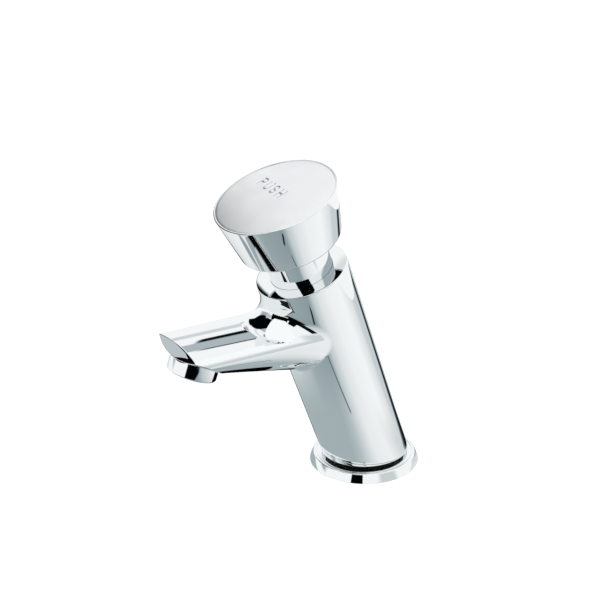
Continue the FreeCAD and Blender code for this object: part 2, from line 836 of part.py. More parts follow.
def cap_plate():
    ball = plate_surface_radius()
    edge = button_top - 0.2
    disc = cylinder(plate_radius, plate_seat, edge + plate_dome + 0.5)
    centre = Vector(0, 0, edge + plate_dome - ball)
    shape = disc.common(Part.makeSphere(ball, centre, Vector(0, 0, 1), 60, 90, 360))
    letters = word_cutter()
    letters.translate(Vector(0, 0, edge))
    floor = Part.makeSphere(ball - letter_depth, centre, Vector(0, 0, 1), 60, 90, 360)
    return shape.cut(letters.cut(floor))


def aerator_housing():
    shape = cylinder(aerator_radius, 0.0, aerator_length)
    shape = round_edges(shape, aerator_edge_round, lambda e: e.BoundBox.ZMax < 0.01)
    shape = shape.cut(cylinder(housing_bore_radius, insert_bottom, aerator_length + 1.0))
    shape = shape.cut(cylinder(screen_radius + fit_clearance, outlet_lip, insert_bottom + 0.1))
    return shape.cut(cylinder(outlet_radius, -1.0, outlet_lip + 0.1))


def aerator_screen():
    low = outlet_lip
    high = outlet_lip + screen_thickness
    disc = cylinder(screen_radius, low, high)
    holes = []
    count = int(outlet_radius / screen_pitch) + 1
    for i in range(-count, count + 1):
        for j in range(-count, count + 1):
            x = i * screen_pitch
            y = j * screen_pitch
            if math.hypot(abs(x) + screen_hole / 2.0, abs(y) + screen_hole / 2.0) < outlet_radius - 0.3:
                corner = Vector(x - screen_hole / 2.0, y - screen_hole / 2.0, low - 0.5)
                holes.append(Part.makeBox(screen_hole, screen_hole, screen_thickness + 1.0, corner))
    return disc.cut(Part.makeCompound(holes))


def aerator_insert():
    disc = cylinder(boss_radius - fit_clearance, insert_bottom, insert_top)
    dome = cylinder(insert_dome_radius, insert_bottom, insert_dome_top)
    dome = round_edges(dome, insert_dome_round, lambda e: e.BoundBox.ZMin > insert_dome_top - 0.01)
    shape = disc.fuse(dome).removeSplitter()
    return perforate(shape, insert_hole_radius, insert_hole_pitch, insert_dome_radius - 1.4, insert_bottom,
                     insert_dome_top)


def aerator_washer():
    return ring(boss_radius - fit_clearance, boss_bore_radius + fit_clearance, insert_top, boss_bottom)


def upright_parts():
    return {
        "base_flange": base_flange(),
        "flange_gasket": flange_gasket(),
        "threaded_shank": shank(),
        "shank_o_ring": shank_o_ring(),
        "inlet_filter": inlet_filter(),
        "deck_rubber_washer": clamp_washer(rubber_washer_top, rubber_washer_thickness),
        "deck_metal_washer": clamp_washer(metal_washer_top, metal_washer_thickness),
        "lock_nut": lock_nut(),
    }


def column_parts():
    return {
        "bonnet": bonnet(),
        "bonnet_o_ring": bonnet_o_ring(),
        "guide_bush": guide_bush(),
        "stem_wiper": stem_wiper(),
        "stem_seal": stem_seal(),
        "seal_carrier": seal_carrier(),
        "cartridge_sleeve": cartridge_sleeve(),
        "sleeve_o_ring_lower": sleeve_o_ring(sleeve_groove_low()),
        "sleeve_o_ring_upper": sleeve_o_ring(sleeve_groove_high()),
        "return_spring": return_spring(),
        "stem": stem(),
        "piston": piston(),
        "piston_seal": piston_seal(),
        "piston_clip": piston_clip(),
        "metering_pin": metering_pin(),
        "valve_washer": valve_washer(),
        "valve_holder": valve_holder(),
        "valve_nut": valve_nut(),
        "push_cap": push_cap(),
        "cap_screw": cap_screw(),
        "cap_lock_washer": lock_washer(),
        "cap_plate": cap_plate(),
    }


def aerator_parts():
    return {
        "aerator_housing": aerator_housing(),
        "aerator_screen": aerator_screen(),
        "aerator_insert": aerator_insert(),
        "aerator_washer": aerator_washer(),
    }


def all_parts():
    parts = {"tap_body": tap_body()}
    parts.update(upright_parts())
    for name, shape in column_parts().items():
        parts[name] = on_column(shape)
    for name, shape in aerator_parts().items():
        parts[name] = on_aerator(shape)
    return parts


os.makedirs("parts", exist_ok=True)
for name, shape in all_parts().items():
    print(name, "solids", len(shape.Solids), "valid", shape.isValid(), "volume %.1f" % shape.Volume)
    shape.exportStep("parts/" + name + ".step")
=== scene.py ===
# %% [markdown]
# # A chrome push tap
#
# This notebook dresses a basin tap that closes by itself. Its pieces come in from the frame, in
# metres, with +Z up and the spout pointing to -Y. What is left is the looks: smooth plated
# surfaces, a satin button, a cut thread, and the studio round them. Chrome has hardly any colour
# of its own, so most of the work is in exact curvature and in what stands round the tap.

# %% Load the frame
import json
import math
import bmesh
import bpy
import numpy as np
from mathutils import Matrix, Vector


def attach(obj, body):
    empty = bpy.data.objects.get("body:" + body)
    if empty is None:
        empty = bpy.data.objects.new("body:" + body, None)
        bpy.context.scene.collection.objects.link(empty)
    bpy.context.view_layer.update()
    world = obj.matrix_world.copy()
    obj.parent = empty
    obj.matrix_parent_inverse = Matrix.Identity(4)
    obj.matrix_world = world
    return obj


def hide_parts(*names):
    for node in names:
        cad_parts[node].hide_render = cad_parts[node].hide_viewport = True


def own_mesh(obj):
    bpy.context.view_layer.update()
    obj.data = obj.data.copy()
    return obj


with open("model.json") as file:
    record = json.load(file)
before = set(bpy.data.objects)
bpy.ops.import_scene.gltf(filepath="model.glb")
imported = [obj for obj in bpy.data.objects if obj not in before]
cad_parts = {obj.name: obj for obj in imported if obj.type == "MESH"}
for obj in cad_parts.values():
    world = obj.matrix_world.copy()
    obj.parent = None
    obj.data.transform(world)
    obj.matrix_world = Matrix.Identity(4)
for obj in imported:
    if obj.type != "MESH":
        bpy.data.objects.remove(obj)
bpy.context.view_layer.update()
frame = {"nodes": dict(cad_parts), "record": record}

# %% [markdown]
# ## The main sizes
#
# The new surfaces repeat the sizes of the metal model, in millimetres, so that each one lies on
# the piece that it stands for. Lengths along the leaning column are measured from the deck.

# %% Sizes in millimetres
MM = 0.001
LEAN = math.radians(19.2)
FOOT = np.array([0.0, 2.26, 0.0])
FOOT_RADIUS, TOP_RADIUS, COLUMN_LENGTH = 18.7, 20.6, 106.7
TAPER = (TOP_RADIUS - FOOT_RADIUS) / COLUMN_LENGTH
FLANGE_TOP, JOINT_GAP, JOINT_DEPTH = 4.0, 1.4, 1.6
NECK_RADIUS, NECK_TOP = 13.9, 124.0

SPOUT_TOP, CROWN_RADIUS, SHOULDER_ROUND = 78.7, 160.0, 3.0
TIP_HALF_WIDTH, ROOT_HALF_WIDTH = 18.8, 19.4
TIP_Y, ROOT_Y = -100.0, -24.0
BOTTOM_Y, BOTTOM_HEIGHT, BOTTOM_SLOPE = -77.0, 65.0, 0.229
NOSE_EDGE_Y, BEVEL_ANGLE = -92.2, math.radians(40.0)
LIP = np.array([0.0, -96.1, 75.2])
CHIN_ANGLE, CHIN_RADIUS = math.radians(28.8), 46.0
TOP_BLEND, UNDER_BLEND = 9.5, 2.5

AERATOR_AT = np.array([0.0, -87.0, 64.4])
AERATOR_TILT = math.radians(19.8)

# %% [markdown]
# ## Two tilted places
#
# A turned piece is easiest to describe upright, as a profile round the Z axis. A rotation about X
# and a shift put it on the leaning column or on the aerator. The points are moved, not the
# object, so every finished object still sits at the origin.

# %% Place points on the column or on the aerator
def about_x(angle):
    """The matrix that turns points about the X axis by the angle."""
    c, s = math.cos(angle), math.sin(angle)
    return np.array([[1, 0, 0], [0, c, -s], [0, s, c]])


COLUMN_TURN = about_x(LEAN)
AERATOR_TURN = about_x(-AERATOR_TILT)


def on_column(points):
    """Upright points, turned to the column's lean and set over its foot."""
    return points @ COLUMN_TURN.T + FOOT


def off_column(points):
    """The way back from on_column."""
    return (points - FOOT) @ COLUMN_TURN


def on_aerator(points):
    """Upright points, turned to the aerator's axis and set at its outlet."""
    return points @ AERATOR_TURN.T + AERATOR_AT


def upright(points):
    """Points that stay where they are."""
    return points


print("the column's axis:", np.round(COLUMN_TURN[:, 2], 4))

# %% [markdown]
# ## Three formulas used all over
#
# Soft edges, round pieces and straight strokes come back in many places, from the letters on the
# button to the cards of the studio, so each has one small function.

# %% Soft steps, circles and strokes
def ease(x):
    """A smooth step from 0 to 1: 3 x^2 - 2 x^3 between 0 and 1."""
    x = np.clip(x, 0, 1)
    return x * x * (3 - 2 * x)


def polar(radius, angle, height):
    """Points x = r cos a, y = r sin a at a height, as an array with x, y and z last."""
    return np.stack([radius * np.cos(angle), radius * np.sin(angle), height + 0 * angle], -1)


def from_line(x, y, x0, y0, x1, y1):
    """Distance of points from a straight stroke, and how far along it they are, from 0 to 1."""
    dx, dy = x1 - x0, y1 - y0
    along = np.clip(((x - x0) * dx + (y - y0) * dy) / (dx * dx + dy * dy), 0, 1)
    return np.hypot(x - x0 - along * dx, y - y0 - along * dy), along


# %% [markdown]
# ## From arrays to meshes
#
# Each surface is a grid of points. One function turns grids into a mesh, with quads between
# neighbouring points, and joins the last column to the first where the surface closes on itself.

# %% Grids to one mesh
MERGE_DISTANCE, SLIVER = 2e-6, 1e-6     # in metres


def grid_faces(rows, columns, wrap, start=0):
    """Corner numbers of the quads between neighbouring rows and columns."""
    index = np.arange(rows * columns).reshape(rows, columns) + start
    if wrap:
        index = np.concatenate([index, index[:, :1]], axis=1)
    corners = [index[:-1, :-1], index[:-1, 1:], index[1:, 1:], index[1:, :-1]]
    return np.stack(corners, -1).reshape(-1, 4)


def new_object(name, vertices, faces):
    """A mesh object in the scene, from arrays of corners in metres and of faces."""
    mesh = bpy.data.meshes.new(name)
    mesh.from_pydata(vertices.tolist(), [], faces.tolist())
    made = bpy.data.objects.new(name, mesh)
    bpy.context.scene.collection.objects.link(made)
    return made


def tidy_mesh(mesh, sharp_angle):
    """Merges doubled corners, points the faces outwards and marks the sharp edges."""
    work = bmesh.new()
    work.from_mesh(mesh)
    bmesh.ops.remove_doubles(work, verts=work.verts, dist=MERGE_DISTANCE)
    bmesh.ops.dissolve_degenerate(work, edges=work.edges, dist=SLIVER)
    bmesh.ops.recalc_face_normals(work, faces=work.faces)
    limit = math.radians(sharp_angle)
    for face in work.faces:
        face.smooth = True
    for edge in work.edges:
        edge.smooth = len(edge.link_faces) != 2 or edge.calc_face_angle(0.0) < limit
    work.to_mesh(mesh)
    work.free()


def mesh_of_grids(name, grids, sharp_angle=35.0):
    """One object from (points, wrap) grids in mm, its doubles merged and its faces smooth."""
    vertices, faces, start = [], [], 0
    for points, wrap in grids:
        rows, columns = points.shape[:2]
        vertices.append(points.reshape(-1, 3))
        faces.append(grid_faces(rows, columns, wrap, start))
        start += rows * columns
    piece = new_object(name, np.concatenate(vertices) * MM, np.concatenate(faces))
    tidy_mesh(piece.data, sharp_angle)
    print(name, "faces:", len(piece.data.polygons))
    return piece


# %% [markdown]
# ### Turned shapes with rounded corners
#
# A turned piece is drawn as corners, and each corner is rounded by an arc of its own radius, since
# no real edge is quite sharp. A bevel modifier would round them all alike.

# %% Rounded outlines, carried round an axis
def rounded(corners, steps=8):
    """A closed outline of (r, z, round) corners. Each corner becomes an arc of its own radius."""
    points = []
    count = len(corners)
    for i, (r, z, radius) in enumerate(corners):
        here = np.array([r, z], float)
        if radius <= 0:
            points.append(here)
            continue
        back = np.array(corners[i - 1][:2], float) - here
        ahead = np.array(corners[(i + 1) % count][:2], float) - here
        back, ahead = back / np.linalg.norm(back), ahead / np.linalg.norm(ahead)
        half = math.acos(np.clip(back @ ahead, -1, 1)) / 2
        reach = radius / math.tan(half)
        middle = here + (back + ahead) / np.linalg.norm(back + ahead) * radius / math.sin(half)
        one, two = here + back * reach - middle, here + ahead * reach - middle
        turn = math.pi - 2 * half
        s = np.linspace(0, 1, steps + 1)[:, None]
        arc = (np.sin((1 - s) * turn) * one + np.sin(s * turn) * two) / math.sin(turn)
        points.extend(middle + arc)
    return np.array(points)


def turned(name, corners, place, segments=256, steps=8):
    """A turned piece: a closed outline (r, z, round) carried round the Z axis, then placed."""
    outline = rounded(corners, steps)
    outline = np.concatenate([outline, outline[:1]])
    angle = np.linspace(0, 2 * math.pi, segments, endpoint=False)
    points = polar(outline[:, :1], angle, outline[:, 1:])
    return mesh_of_grids(name, [(place(points), True)])


# %% [markdown]
# ## The spout's cross-section
#
# The spout is a bar with a gently crowned top, rounded shoulders and a half-ellipse underneath.
# It could be lofted from curves. A formula also gives the exact direction in which the surface
# faces, which the blend into the column needs. The angle *g* runs from the right flank (0) over
# to the left flank (pi), and x = W cos g.

# %% Section of the spout
SMALL_STEP = 0.01                       # in mm, for slopes and for tests beside an edge


def half_width(y):
    """Half the spout's width at y, on a straight line between its tip and its root."""
    return TIP_HALF_WIDTH + (ROOT_HALF_WIDTH - TIP_HALF_WIDTH) * (y - TIP_Y) / (ROOT_Y - TIP_Y)


def cross_section(g, y, top):
    """The point x, z of the section at the angle g, and its direction within the section.

    Above: a crown of radius CROWN_RADIUS between two shoulder arcs tangent to it. Below: the half
    ellipse x = W cos g, z = shoulder - D sin g."""
    w = half_width(y)
    inner = w - SHOULDER_ROUND
    centre = SPOUT_TOP - CROWN_RADIUS
    shoulder = centre + np.sqrt((CROWN_RADIUS - SHOULDER_ROUND) ** 2 - inner ** 2)
    x = w * np.cos(g)
    if not top:
        depth = shoulder - (BOTTOM_HEIGHT - BOTTOM_SLOPE * (y - BOTTOM_Y))
        nx, nz = np.cos(g) / w, -np.sin(g) / depth
        size = np.hypot(nx, nz)
        return x, shoulder - depth * np.sin(g), nx / size, nz / size
    over = np.clip(np.abs(x) - inner, 0, SHOULDER_ROUND)
    crown = centre + np.sqrt(CROWN_RADIUS ** 2 - x ** 2)
    corner = shoulder + np.sqrt(np.maximum(SHOULDER_ROUND ** 2 - over ** 2, 0))
    on_crown = np.abs(x) <= inner * CROWN_RADIUS / (CROWN_RADIUS - SHOULDER_ROUND)
    z = np.where(on_crown, crown, corner)
    nx = np.where(on_crown, x / CROWN_RADIUS, np.sign(x) * over / SHOULDER_ROUND)
    nz = np.where(on_crown, (z - centre) / CROWN_RADIUS, (z - shoulder) / SHOULDER_ROUND)
    return x, z, nx, nz


def section(g, y, top):
    """Points and outward directions of the spout's skin at the angle g and the depth y.

    The third part of the direction makes it square to the straight lines that join the tip's
    section to the root's."""
    x, z, nx, nz = cross_section(g, y, top)
    next_x, next_z, _, _ = cross_section(g, y + SMALL_STEP, top)
    ny = -(nx * (next_x - x) + nz * (next_z - z)) / SMALL_STEP
    normal = np.stack([nx, ny, nz], -1)
    normal /= np.linalg.norm(normal, axis=-1, keepdims=True)
    return np.stack([x, y + 0 * x, z], -1), normal


def bisect(test, g, search, times=50):
    """The last value from the search's low end for which test holds, at every angle at once."""
    low, high = np.full_like(g, search[0]), np.full_like(g, search[1])
    for _ in range(times):
        middle = (low + high) / 2
        inside = test(middle)
        low, high = np.where(inside, middle, low), np.where(inside, high, middle)
    return (low + high) / 2


# %% [markdown]
# ## The nose
#
# The end of the spout is cut twice: a flat bevel slopes down and forward from the top edge, and
# the chin below it is part of a large cylinder. Each edge between them is eased by a curve with
# three control points (on the first face, on the edge, on the second face), as polishing leaves
# it, so that it catches a line of light.

# %% Bevel plane and chin
BEVEL_NORMAL = np.array([0, -math.sin(BEVEL_ANGLE), math.cos(BEVEL_ANGLE)])
BEVEL_POINT = np.array([0, NOSE_EDGE_Y, SPOUT_TOP])
CHIN_ALONG = np.array([0, math.cos(CHIN_ANGLE), -math.sin(CHIN_ANGLE)])
CHIN_UP = np.array([0, math.sin(CHIN_ANGLE), math.cos(CHIN_ANGLE)])
EASE, EASE_SHARE = 0.45, 0.45           # in mm, and the most of a narrow face that one edge takes


def behind_bevel(points):
    """True where a point lies inside the flat bevel."""
    return (points - BEVEL_POINT) @ BEVEL_NORMAL < 0


def inside_chin(points):
    """True where a point lies inside the chin's cylinder."""
    away = (points - LIP) @ CHIN_UP - CHIN_RADIUS
    return np.hypot(points[..., 0], away) < CHIN_RADIUS


def on_chin(x, s):
    """The chin's point at the width x and the distance s along it from the lip."""
    rise = CHIN_RADIUS - np.sqrt(CHIN_RADIUS ** 2 - x ** 2)
    points = LIP + rise[..., None] * CHIN_UP + s[..., None] * CHIN_ALONG
    points[..., 0] = x
    return points


def eased(first, edge, second, steps=4):
    """A curve that leaves the first point towards the edge and arrives at the second."""
    t = np.linspace(0, 1, steps + 1)[:, None, None]
    return (1 - t) ** 2 * first + 2 * t * (1 - t) * edge + t ** 2 * second


def towards(start, end, reach):
    """Points that lie reach along the way from start to end, or EASE_SHARE of it if that is less."""
    way = end - start
    length = np.linalg.norm(way, axis=-1, keepdims=True)
    return start + way * np.minimum(reach / np.maximum(length, 1e-9), EASE_SHARE)


# %% [markdown]
# ## The soft blend into the column
#
# Where the spout grows out of the column, a ball that rolls along both surfaces leaves the blend
# of a cast and polished piece. Its centre lies one radius off both. For each angle of the section,
# the depth y at which that holds is found by halving, and the blend is the short arc between the
# two points of contact.

# %% Rolling ball between spout and column
BLEND_SEARCH = (-80.0, -12.0)           # the depths y between which the ball is looked for


def cone_reach(points):
    """Distance of points from the column's wall, and the wall's outward direction there."""
    local = off_column(points)
    out = np.hypot(local[..., 0], local[..., 1])
    flat = 1.0 / math.hypot(1.0, TAPER)
    reach = (out - FOOT_RADIUS - TAPER * local[..., 2]) * flat
    direction = np.stack([local[..., 0] / out, local[..., 1] / out, 0 * out - TAPER], -1) * flat
    return reach, direction @ COLUMN_TURN.T


def ball_arc(centre, start, end, radius, steps=16):
    """The arc round the centre from start to end, as rows of points."""
    one, two = (start - centre) / radius[:, None], (end - centre) / radius[:, None]
    turn = np.arccos(np.clip((one * two).sum(-1), -1, 1))[:, None]
    s = np.linspace(0, 1, steps + 1)[:, None, None]
    swing = (np.sin((1 - s) * turn) * one + np.sin(s * turn) * two) / np.maximum(np.sin(turn), 1e-6)
    return centre + swing * radius[:, None]


def rolling_ball(g, top, radius):
    """The depth y where the ball touches the spout, and its arc from there to the column."""
    def clear(y):
        """True where a ball on the spout at y still clears the column."""
        points, normal = section(g, y, top)
        return cone_reach(points + normal * radius[:, None])[0] > radius

    y = bisect(clear, g, BLEND_SEARCH)
    points, normal = section(g, y, top)
    centre = points + normal * radius[:, None]
    on_wall = centre - cone_reach(centre)[1] * radius[:, None]
    return y, ball_arc(centre, points, on_wall, radius)


# %% [markdown]
# ## The body's skin
#
# The body is one casting, so its skin is one object made of three grids: the column, the spout
# with its nose, and the blend. First come both ends of the spout's straight lines. The blend is
# wide over the top and along the flanks, and narrows under the spout.

# %% Both ends of the spout's lines
NOSE_SEARCH = (-99.9, -60.0)            # the depths y between which the nose is looked for
FLANK_TURN = 0.5                        # the angle over which the blend narrows, in radians

g = np.linspace(0, math.pi, 241)
top_radius = np.full_like(g, TOP_BLEND)
narrowed = ease(np.minimum(g, math.pi - g) / FLANK_TURN)
under_radius = UNDER_BLEND + (TOP_BLEND - UNDER_BLEND) * (1 - narrowed)
y_top, blend_top = rolling_ball(g, True, top_radius)
y_under, blend_under = rolling_ball(g, False, under_radius)


def nose_end(top):
    """The depth y at which the spout's straight lines leave the nose, and whether at the bevel."""
    def outside(y):
        """True where the skin at y lies beyond the bevel or the chin."""
        points = section(g, y, top)[0]
        return ~(behind_bevel(points) & inside_chin(points))

    y = bisect(outside, g, NOSE_SEARCH)
    just_ahead = section(g, y, top)[0] - np.array([0, 2 * SMALL_STEP, 0])
    return y, inside_chin(just_ahead)


end_top, at_bevel = nose_end(True)
end_under, _ = nose_end(False)
edge_top = section(g, end_top, True)[0]
edge_under = section(g, end_under, False)[0]
print("the blend starts at y", np.round([y_top.min(), y_top.max()], 2), "mm")

# %% [markdown]
# ### Round the nose
#
# The skin runs from the blend along the top, over the edge of the bevel, down to the lip, along
# the chin and back under the spout. Where the flanks have no bevel, its rows fall together, and
# the merging of doubled points clears them away.

# %% Rows of the spout's skin
rise = CHIN_RADIUS - np.sqrt(CHIN_RADIUS ** 2 - edge_top[:, 0] ** 2)
gap = (LIP - BEVEL_POINT) @ BEVEL_NORMAL + rise * (CHIN_UP @ BEVEL_NORMAL)
lip_s = gap / -(CHIN_ALONG @ BEVEL_NORMAL)
s_top = np.where(at_bevel, lip_s, (edge_top - LIP) @ CHIN_ALONG)
s_under = (edge_under - LIP) @ CHIN_ALONG
lip = np.where(at_bevel[:, None], on_chin(edge_top[:, 0], lip_s), edge_top)


def straight(y_from, y_to, top, rows=60):
    """Rows of the spout's skin between two depths, closer together near both ends."""
    t = (1 - np.cos(np.linspace(0, math.pi, rows))) / 2
    return np.stack([section(g, y_from + (y_to - y_from) * k, top)[0] for k in t])


def chin_rows(s_from, s_to, rows=24):
    """Rows of the chin between two distances from the lip."""
    t = np.linspace(0, 1, rows)[:, None]
    x = edge_top[:, 0] + (edge_under[:, 0] - edge_top[:, 0]) * t
    return on_chin(x, s_from + (s_to - s_from) * t)


before_edge = section(g, end_top + EASE, True)[0]
after_edge = towards(edge_top, np.where(at_bevel[:, None], lip, edge_under), EASE)
before_lip = towards(lip, edge_top, EASE)
room = np.minimum(EASE, EASE_SHARE * (s_under - s_top))
after_lip = on_chin(edge_top[:, 0], s_top + room)
chin_end = on_chin(edge_under[:, 0], s_under - room)
before_under = section(g, end_under + EASE, False)[0]
spout_rows = np.concatenate([
    straight(y_top, end_top + EASE, True),
    eased(before_edge, edge_top, np.where(at_bevel[:, None], after_edge, after_lip)),
    np.where(at_bevel[:, None], eased(before_lip, lip, after_lip), after_lip),
    chin_rows(s_top + room, s_under - room),
    eased(chin_end, edge_under, before_under),
    straight(end_under + EASE, y_under, False),
])
print("rows of the spout:", len(spout_rows))

# %% [markdown]
# ### The column
#
# The column is a cone, cut level over the flange and square at its rim, with a shallow recess
# under it whose faces get painted shade, for the dark joint. The foot's height depends on the
# radius there, and the radius on the height, so a few rounds settle both.

# %% The column and the whole skin
HEEL_EASE, SOLE_EASE, RIM_EASE = 0.6, 0.5, 0.5
NECK_CLEARANCE, RIM_DEPTH = 0.12, 6.0
RECESS_SHARE = 0.6                      # how far out the recess's floor reaches


def column_rows(segments=384, rows=90):
    """The column: recess and eased foot over the flange, tapering wall, eased rim and bore."""
    angle = np.linspace(0, 2 * math.pi, segments, endpoint=False) - math.pi / 2

    def ring(radius, up):
        """A ring round the leaning axis."""
        return on_column(polar(radius, angle, up))

    foot_up = np.zeros_like(angle)
    for _ in range(6):
        radius = FOOT_RADIUS + TAPER * foot_up
        level = FLANGE_TOP + JOINT_GAP - radius * np.sin(angle) * math.sin(LEAN)
        foot_up = level / math.cos(LEAN)
    foot = ring(FOOT_RADIUS + TAPER * foot_up, foot_up)
    middle = np.broadcast_to(foot.mean(0), foot.shape)
    recess = towards(foot, middle, JOINT_DEPTH)
    drop = np.array([0, 0, JOINT_GAP])
    floor_in = middle * (1 - RECESS_SHARE) + recess * RECESS_SHARE - drop
    under = np.stack([floor_in, recess - drop, recess])

    heel_up = foot_up + HEEL_EASE
    heel = ring(FOOT_RADIUS + TAPER * heel_up, heel_up)
    t = np.linspace(0, 1, rows)[:, None]
    wall_up = heel_up + (COLUMN_LENGTH - RIM_EASE - heel_up) * t
    wall = np.stack([ring(FOOT_RADIUS + TAPER * u, u) for u in wall_up])
    rim = eased(wall[-1], ring(TOP_RADIUS, COLUMN_LENGTH), ring(TOP_RADIUS - RIM_EASE, COLUMN_LENGTH))
    bore = NECK_RADIUS + NECK_CLEARANCE
    inside = np.stack([ring(bore, COLUMN_LENGTH), ring(bore, COLUMN_LENGTH - RIM_DEPTH)])
    sole = towards(foot, middle, SOLE_EASE)
    return np.concatenate([under, eased(sole, foot, heel), wall[1:], rim[1:], inside])


body_skin = mesh_of_grids("tap_body_skin", [
    (column_rows(), True), (spout_rows, False), (blend_top, False), (blend_under, False)], 50.0)
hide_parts("tap_body")
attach(body_skin, "tap")

# %% [markdown]
# ## Turned pieces
#
# The flange, neck, button and aerator are turned on a lathe. Each outline lists its corners
# (radius, height, rounding) once round the metal. First the flange: a thin disc with a sloping
# edge, a seat for its seal below and a fine groove near the column.

# %% The flange
FLANGE_BORE, FLANGE_RADIUS, FLANGE_EDGE = 11.0, 24.98, 23.0
SEAT_IN, SEAT_OUT, SEAT_DEPTH = 14.0, 22.5, 1.2
GROOVE_IN, GROOVE_OUT, GROOVE_DEPTH, GROOVE_TAPER = 21.35, 21.85, 0.4, 0.05

flange_skin = turned("base_flange_skin", [
    (FLANGE_BORE, 0.0, 0), (SEAT_IN, 0.0, 0), (SEAT_IN, SEAT_DEPTH, 0), (SEAT_OUT, SEAT_DEPTH, 0),
    (SEAT_OUT, 0.0, 0), (FLANGE_RADIUS, 0.0, 0.15), (FLANGE_EDGE, FLANGE_TOP, 0.45),
    (GROOVE_OUT, FLANGE_TOP, 0.08), (GROOVE_OUT - GROOVE_TAPER, FLANGE_TOP - GROOVE_DEPTH, 0),
    (GROOVE_IN + GROOVE_TAPER, FLANGE_TOP - GROOVE_DEPTH, 0), (GROOVE_IN, FLANGE_TOP, 0.08),
    (FLANGE_BORE, FLANGE_TOP, 0)], upright)

# %% [markdown]
# ### The neck
#
# A plain bright tube. It dives into the column's bore, where an O-ring in a groove seals it.

# %% The neck
NECK_FOOT, SOCKET_TOP, GUIDE_FOOT = 92.0, 97.0, 112.0
SOCKET_RADIUS, STEM_WAY, GUIDE_RADIUS = 8.9, 5.0, 6.0
RING_FLOOR, RING_LOW, RING_HIGH = 12.0, 95.0, 97.4

neck_skin = turned("neck_skin", [
    (SOCKET_RADIUS, NECK_FOOT, 0), (NECK_RADIUS, NECK_FOOT, 0), (NECK_RADIUS, RING_LOW, 0),
    (RING_FLOOR, RING_LOW, 0), (RING_FLOOR, RING_HIGH, 0), (NECK_RADIUS, RING_HIGH, 0),
    (NECK_RADIUS, NECK_TOP, 0.8), (GUIDE_RADIUS, NECK_TOP, 0), (GUIDE_RADIUS, GUIDE_FOOT, 0),
    (STEM_WAY, GUIDE_FOOT, 0), (STEM_WAY, SOCKET_TOP, 0), (SOCKET_RADIUS, SOCKET_TOP, 0)], on_column)

# %% [markdown]
# ### The button's shell
#
# A cone that opens upwards, hollow from below so that it can sink over the neck. A hub in the
# middle sits on the stem, and the screw's head hides in a recess under the plate.

# %% The button's shell
BUTTON_FOOT, BUTTON_TOP, PLATE_SEAT = 122.1, 145.9, 144.3
FOOT_IN, FOOT_OUT, BUTTON_RADIUS, PLATE_RECESS = 20.3, 22.5, 27.5, 26.49
HOLLOW_RADIUS, HOLLOW_TOP = 24.29, 141.1
HUB_RADIUS, HUB_FOOT, STEM_HOLE, STEM_END = 7.0, 134.0, 3.03, 140.0
SCREW_HOLE, HEAD_HOLE, HEAD_SEAT = 2.0, 3.7, 142.3

button_skin = turned("button_skin", [
    (FOOT_IN, BUTTON_FOOT, 0.5), (FOOT_OUT, BUTTON_FOOT, 1.6), (BUTTON_RADIUS, BUTTON_TOP, 0.35),
    (PLATE_RECESS, BUTTON_TOP, 0.12), (PLATE_RECESS, PLATE_SEAT, 0), (HEAD_HOLE, PLATE_SEAT, 0),
    (HEAD_HOLE, HEAD_SEAT, 0), (SCREW_HOLE, HEAD_SEAT, 0), (SCREW_HOLE, STEM_END, 0),
    (STEM_HOLE, STEM_END, 0), (STEM_HOLE, HUB_FOOT, 0), (HUB_RADIUS, HUB_FOOT, 0.5),
    (HUB_RADIUS, HOLLOW_TOP, 0), (HOLLOW_RADIUS, HOLLOW_TOP, 0.8)], on_column, 320)

# %% [markdown]
# ### The aerator's housing
#
# The short ring under the nose holds the insert that breaks up the jet. The four turned skins
# then take the place of their metal pieces.

# %% The aerator's housing, and what the skins stand for
AERATOR_RADIUS, AERATOR_BORE, AERATOR_HEIGHT = 11.09, 9.7, 7.4
OUTLET_RADIUS, LEDGE_RADIUS, LEDGE_TOP, LIP_TOP = 8.2, 8.9, 1.0, 0.5

aerator_skin = turned("aerator_skin", [
    (OUTLET_RADIUS, 0.0, 0.15), (AERATOR_RADIUS, 0.0, 0.8), (AERATOR_RADIUS, AERATOR_HEIGHT, 0),
    (AERATOR_BORE, AERATOR_HEIGHT, 0), (AERATOR_BORE, LEDGE_TOP, 0), (LEDGE_RADIUS, LEDGE_TOP, 0),
    (LEDGE_RADIUS, LIP_TOP, 0), (OUTLET_RADIUS, LIP_TOP, 0)], on_aerator, 192)
for piece, node, body in ((flange_skin, "base_flange", "tap"), (neck_skin, "bonnet", "tap"),
                          (button_skin, "push_cap", "button"), (aerator_skin, "aerator_housing", "tap")):
    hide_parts(node)
    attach(piece, body)

# %% [markdown]
# ## The word on the button
#
# The plate has the word PUSH pressed into it. A text object would leave ragged walls when cut in.
# Here the letters are strokes of one width, straight bars and round bows, and the distance of a
# point to the nearest stroke gives its depth, with soft walls as a stamp leaves them.

# %% Strokes of the word
LETTER_HEIGHT, LETTER_WIDTH, LETTER_PITCH, STROKE = 5.6, 3.6, 5.2, 0.7
WORD_X, WORD_Y, LETTER_DEPTH, LETTER_WALL = -6.7, 2.2, 0.16, 0.36
P_BOWL = 0.27                           # the radius of the bowl of P, as a share of the height


def bar(*ends):
    """Gives a function: the distance of points from a straight stroke between two ends."""
    return lambda x, y: from_line(x, y, *ends)[0]


def bow(cx, cy, radius, low, high):
    """Gives a function: the distance of points from an arc between two angles in degrees."""
    def distance(x, y):
        angle = np.degrees(np.arctan2(y - cy, x - cx))
        angle = low + (angle - low) % 360.0
        end = np.where(angle - high < low + 360 - angle, high, low)
        a = np.radians(np.where(angle <= high, angle, end))
        return np.hypot(x - cx - radius * np.cos(a), y - cy - radius * np.sin(a))
    return distance


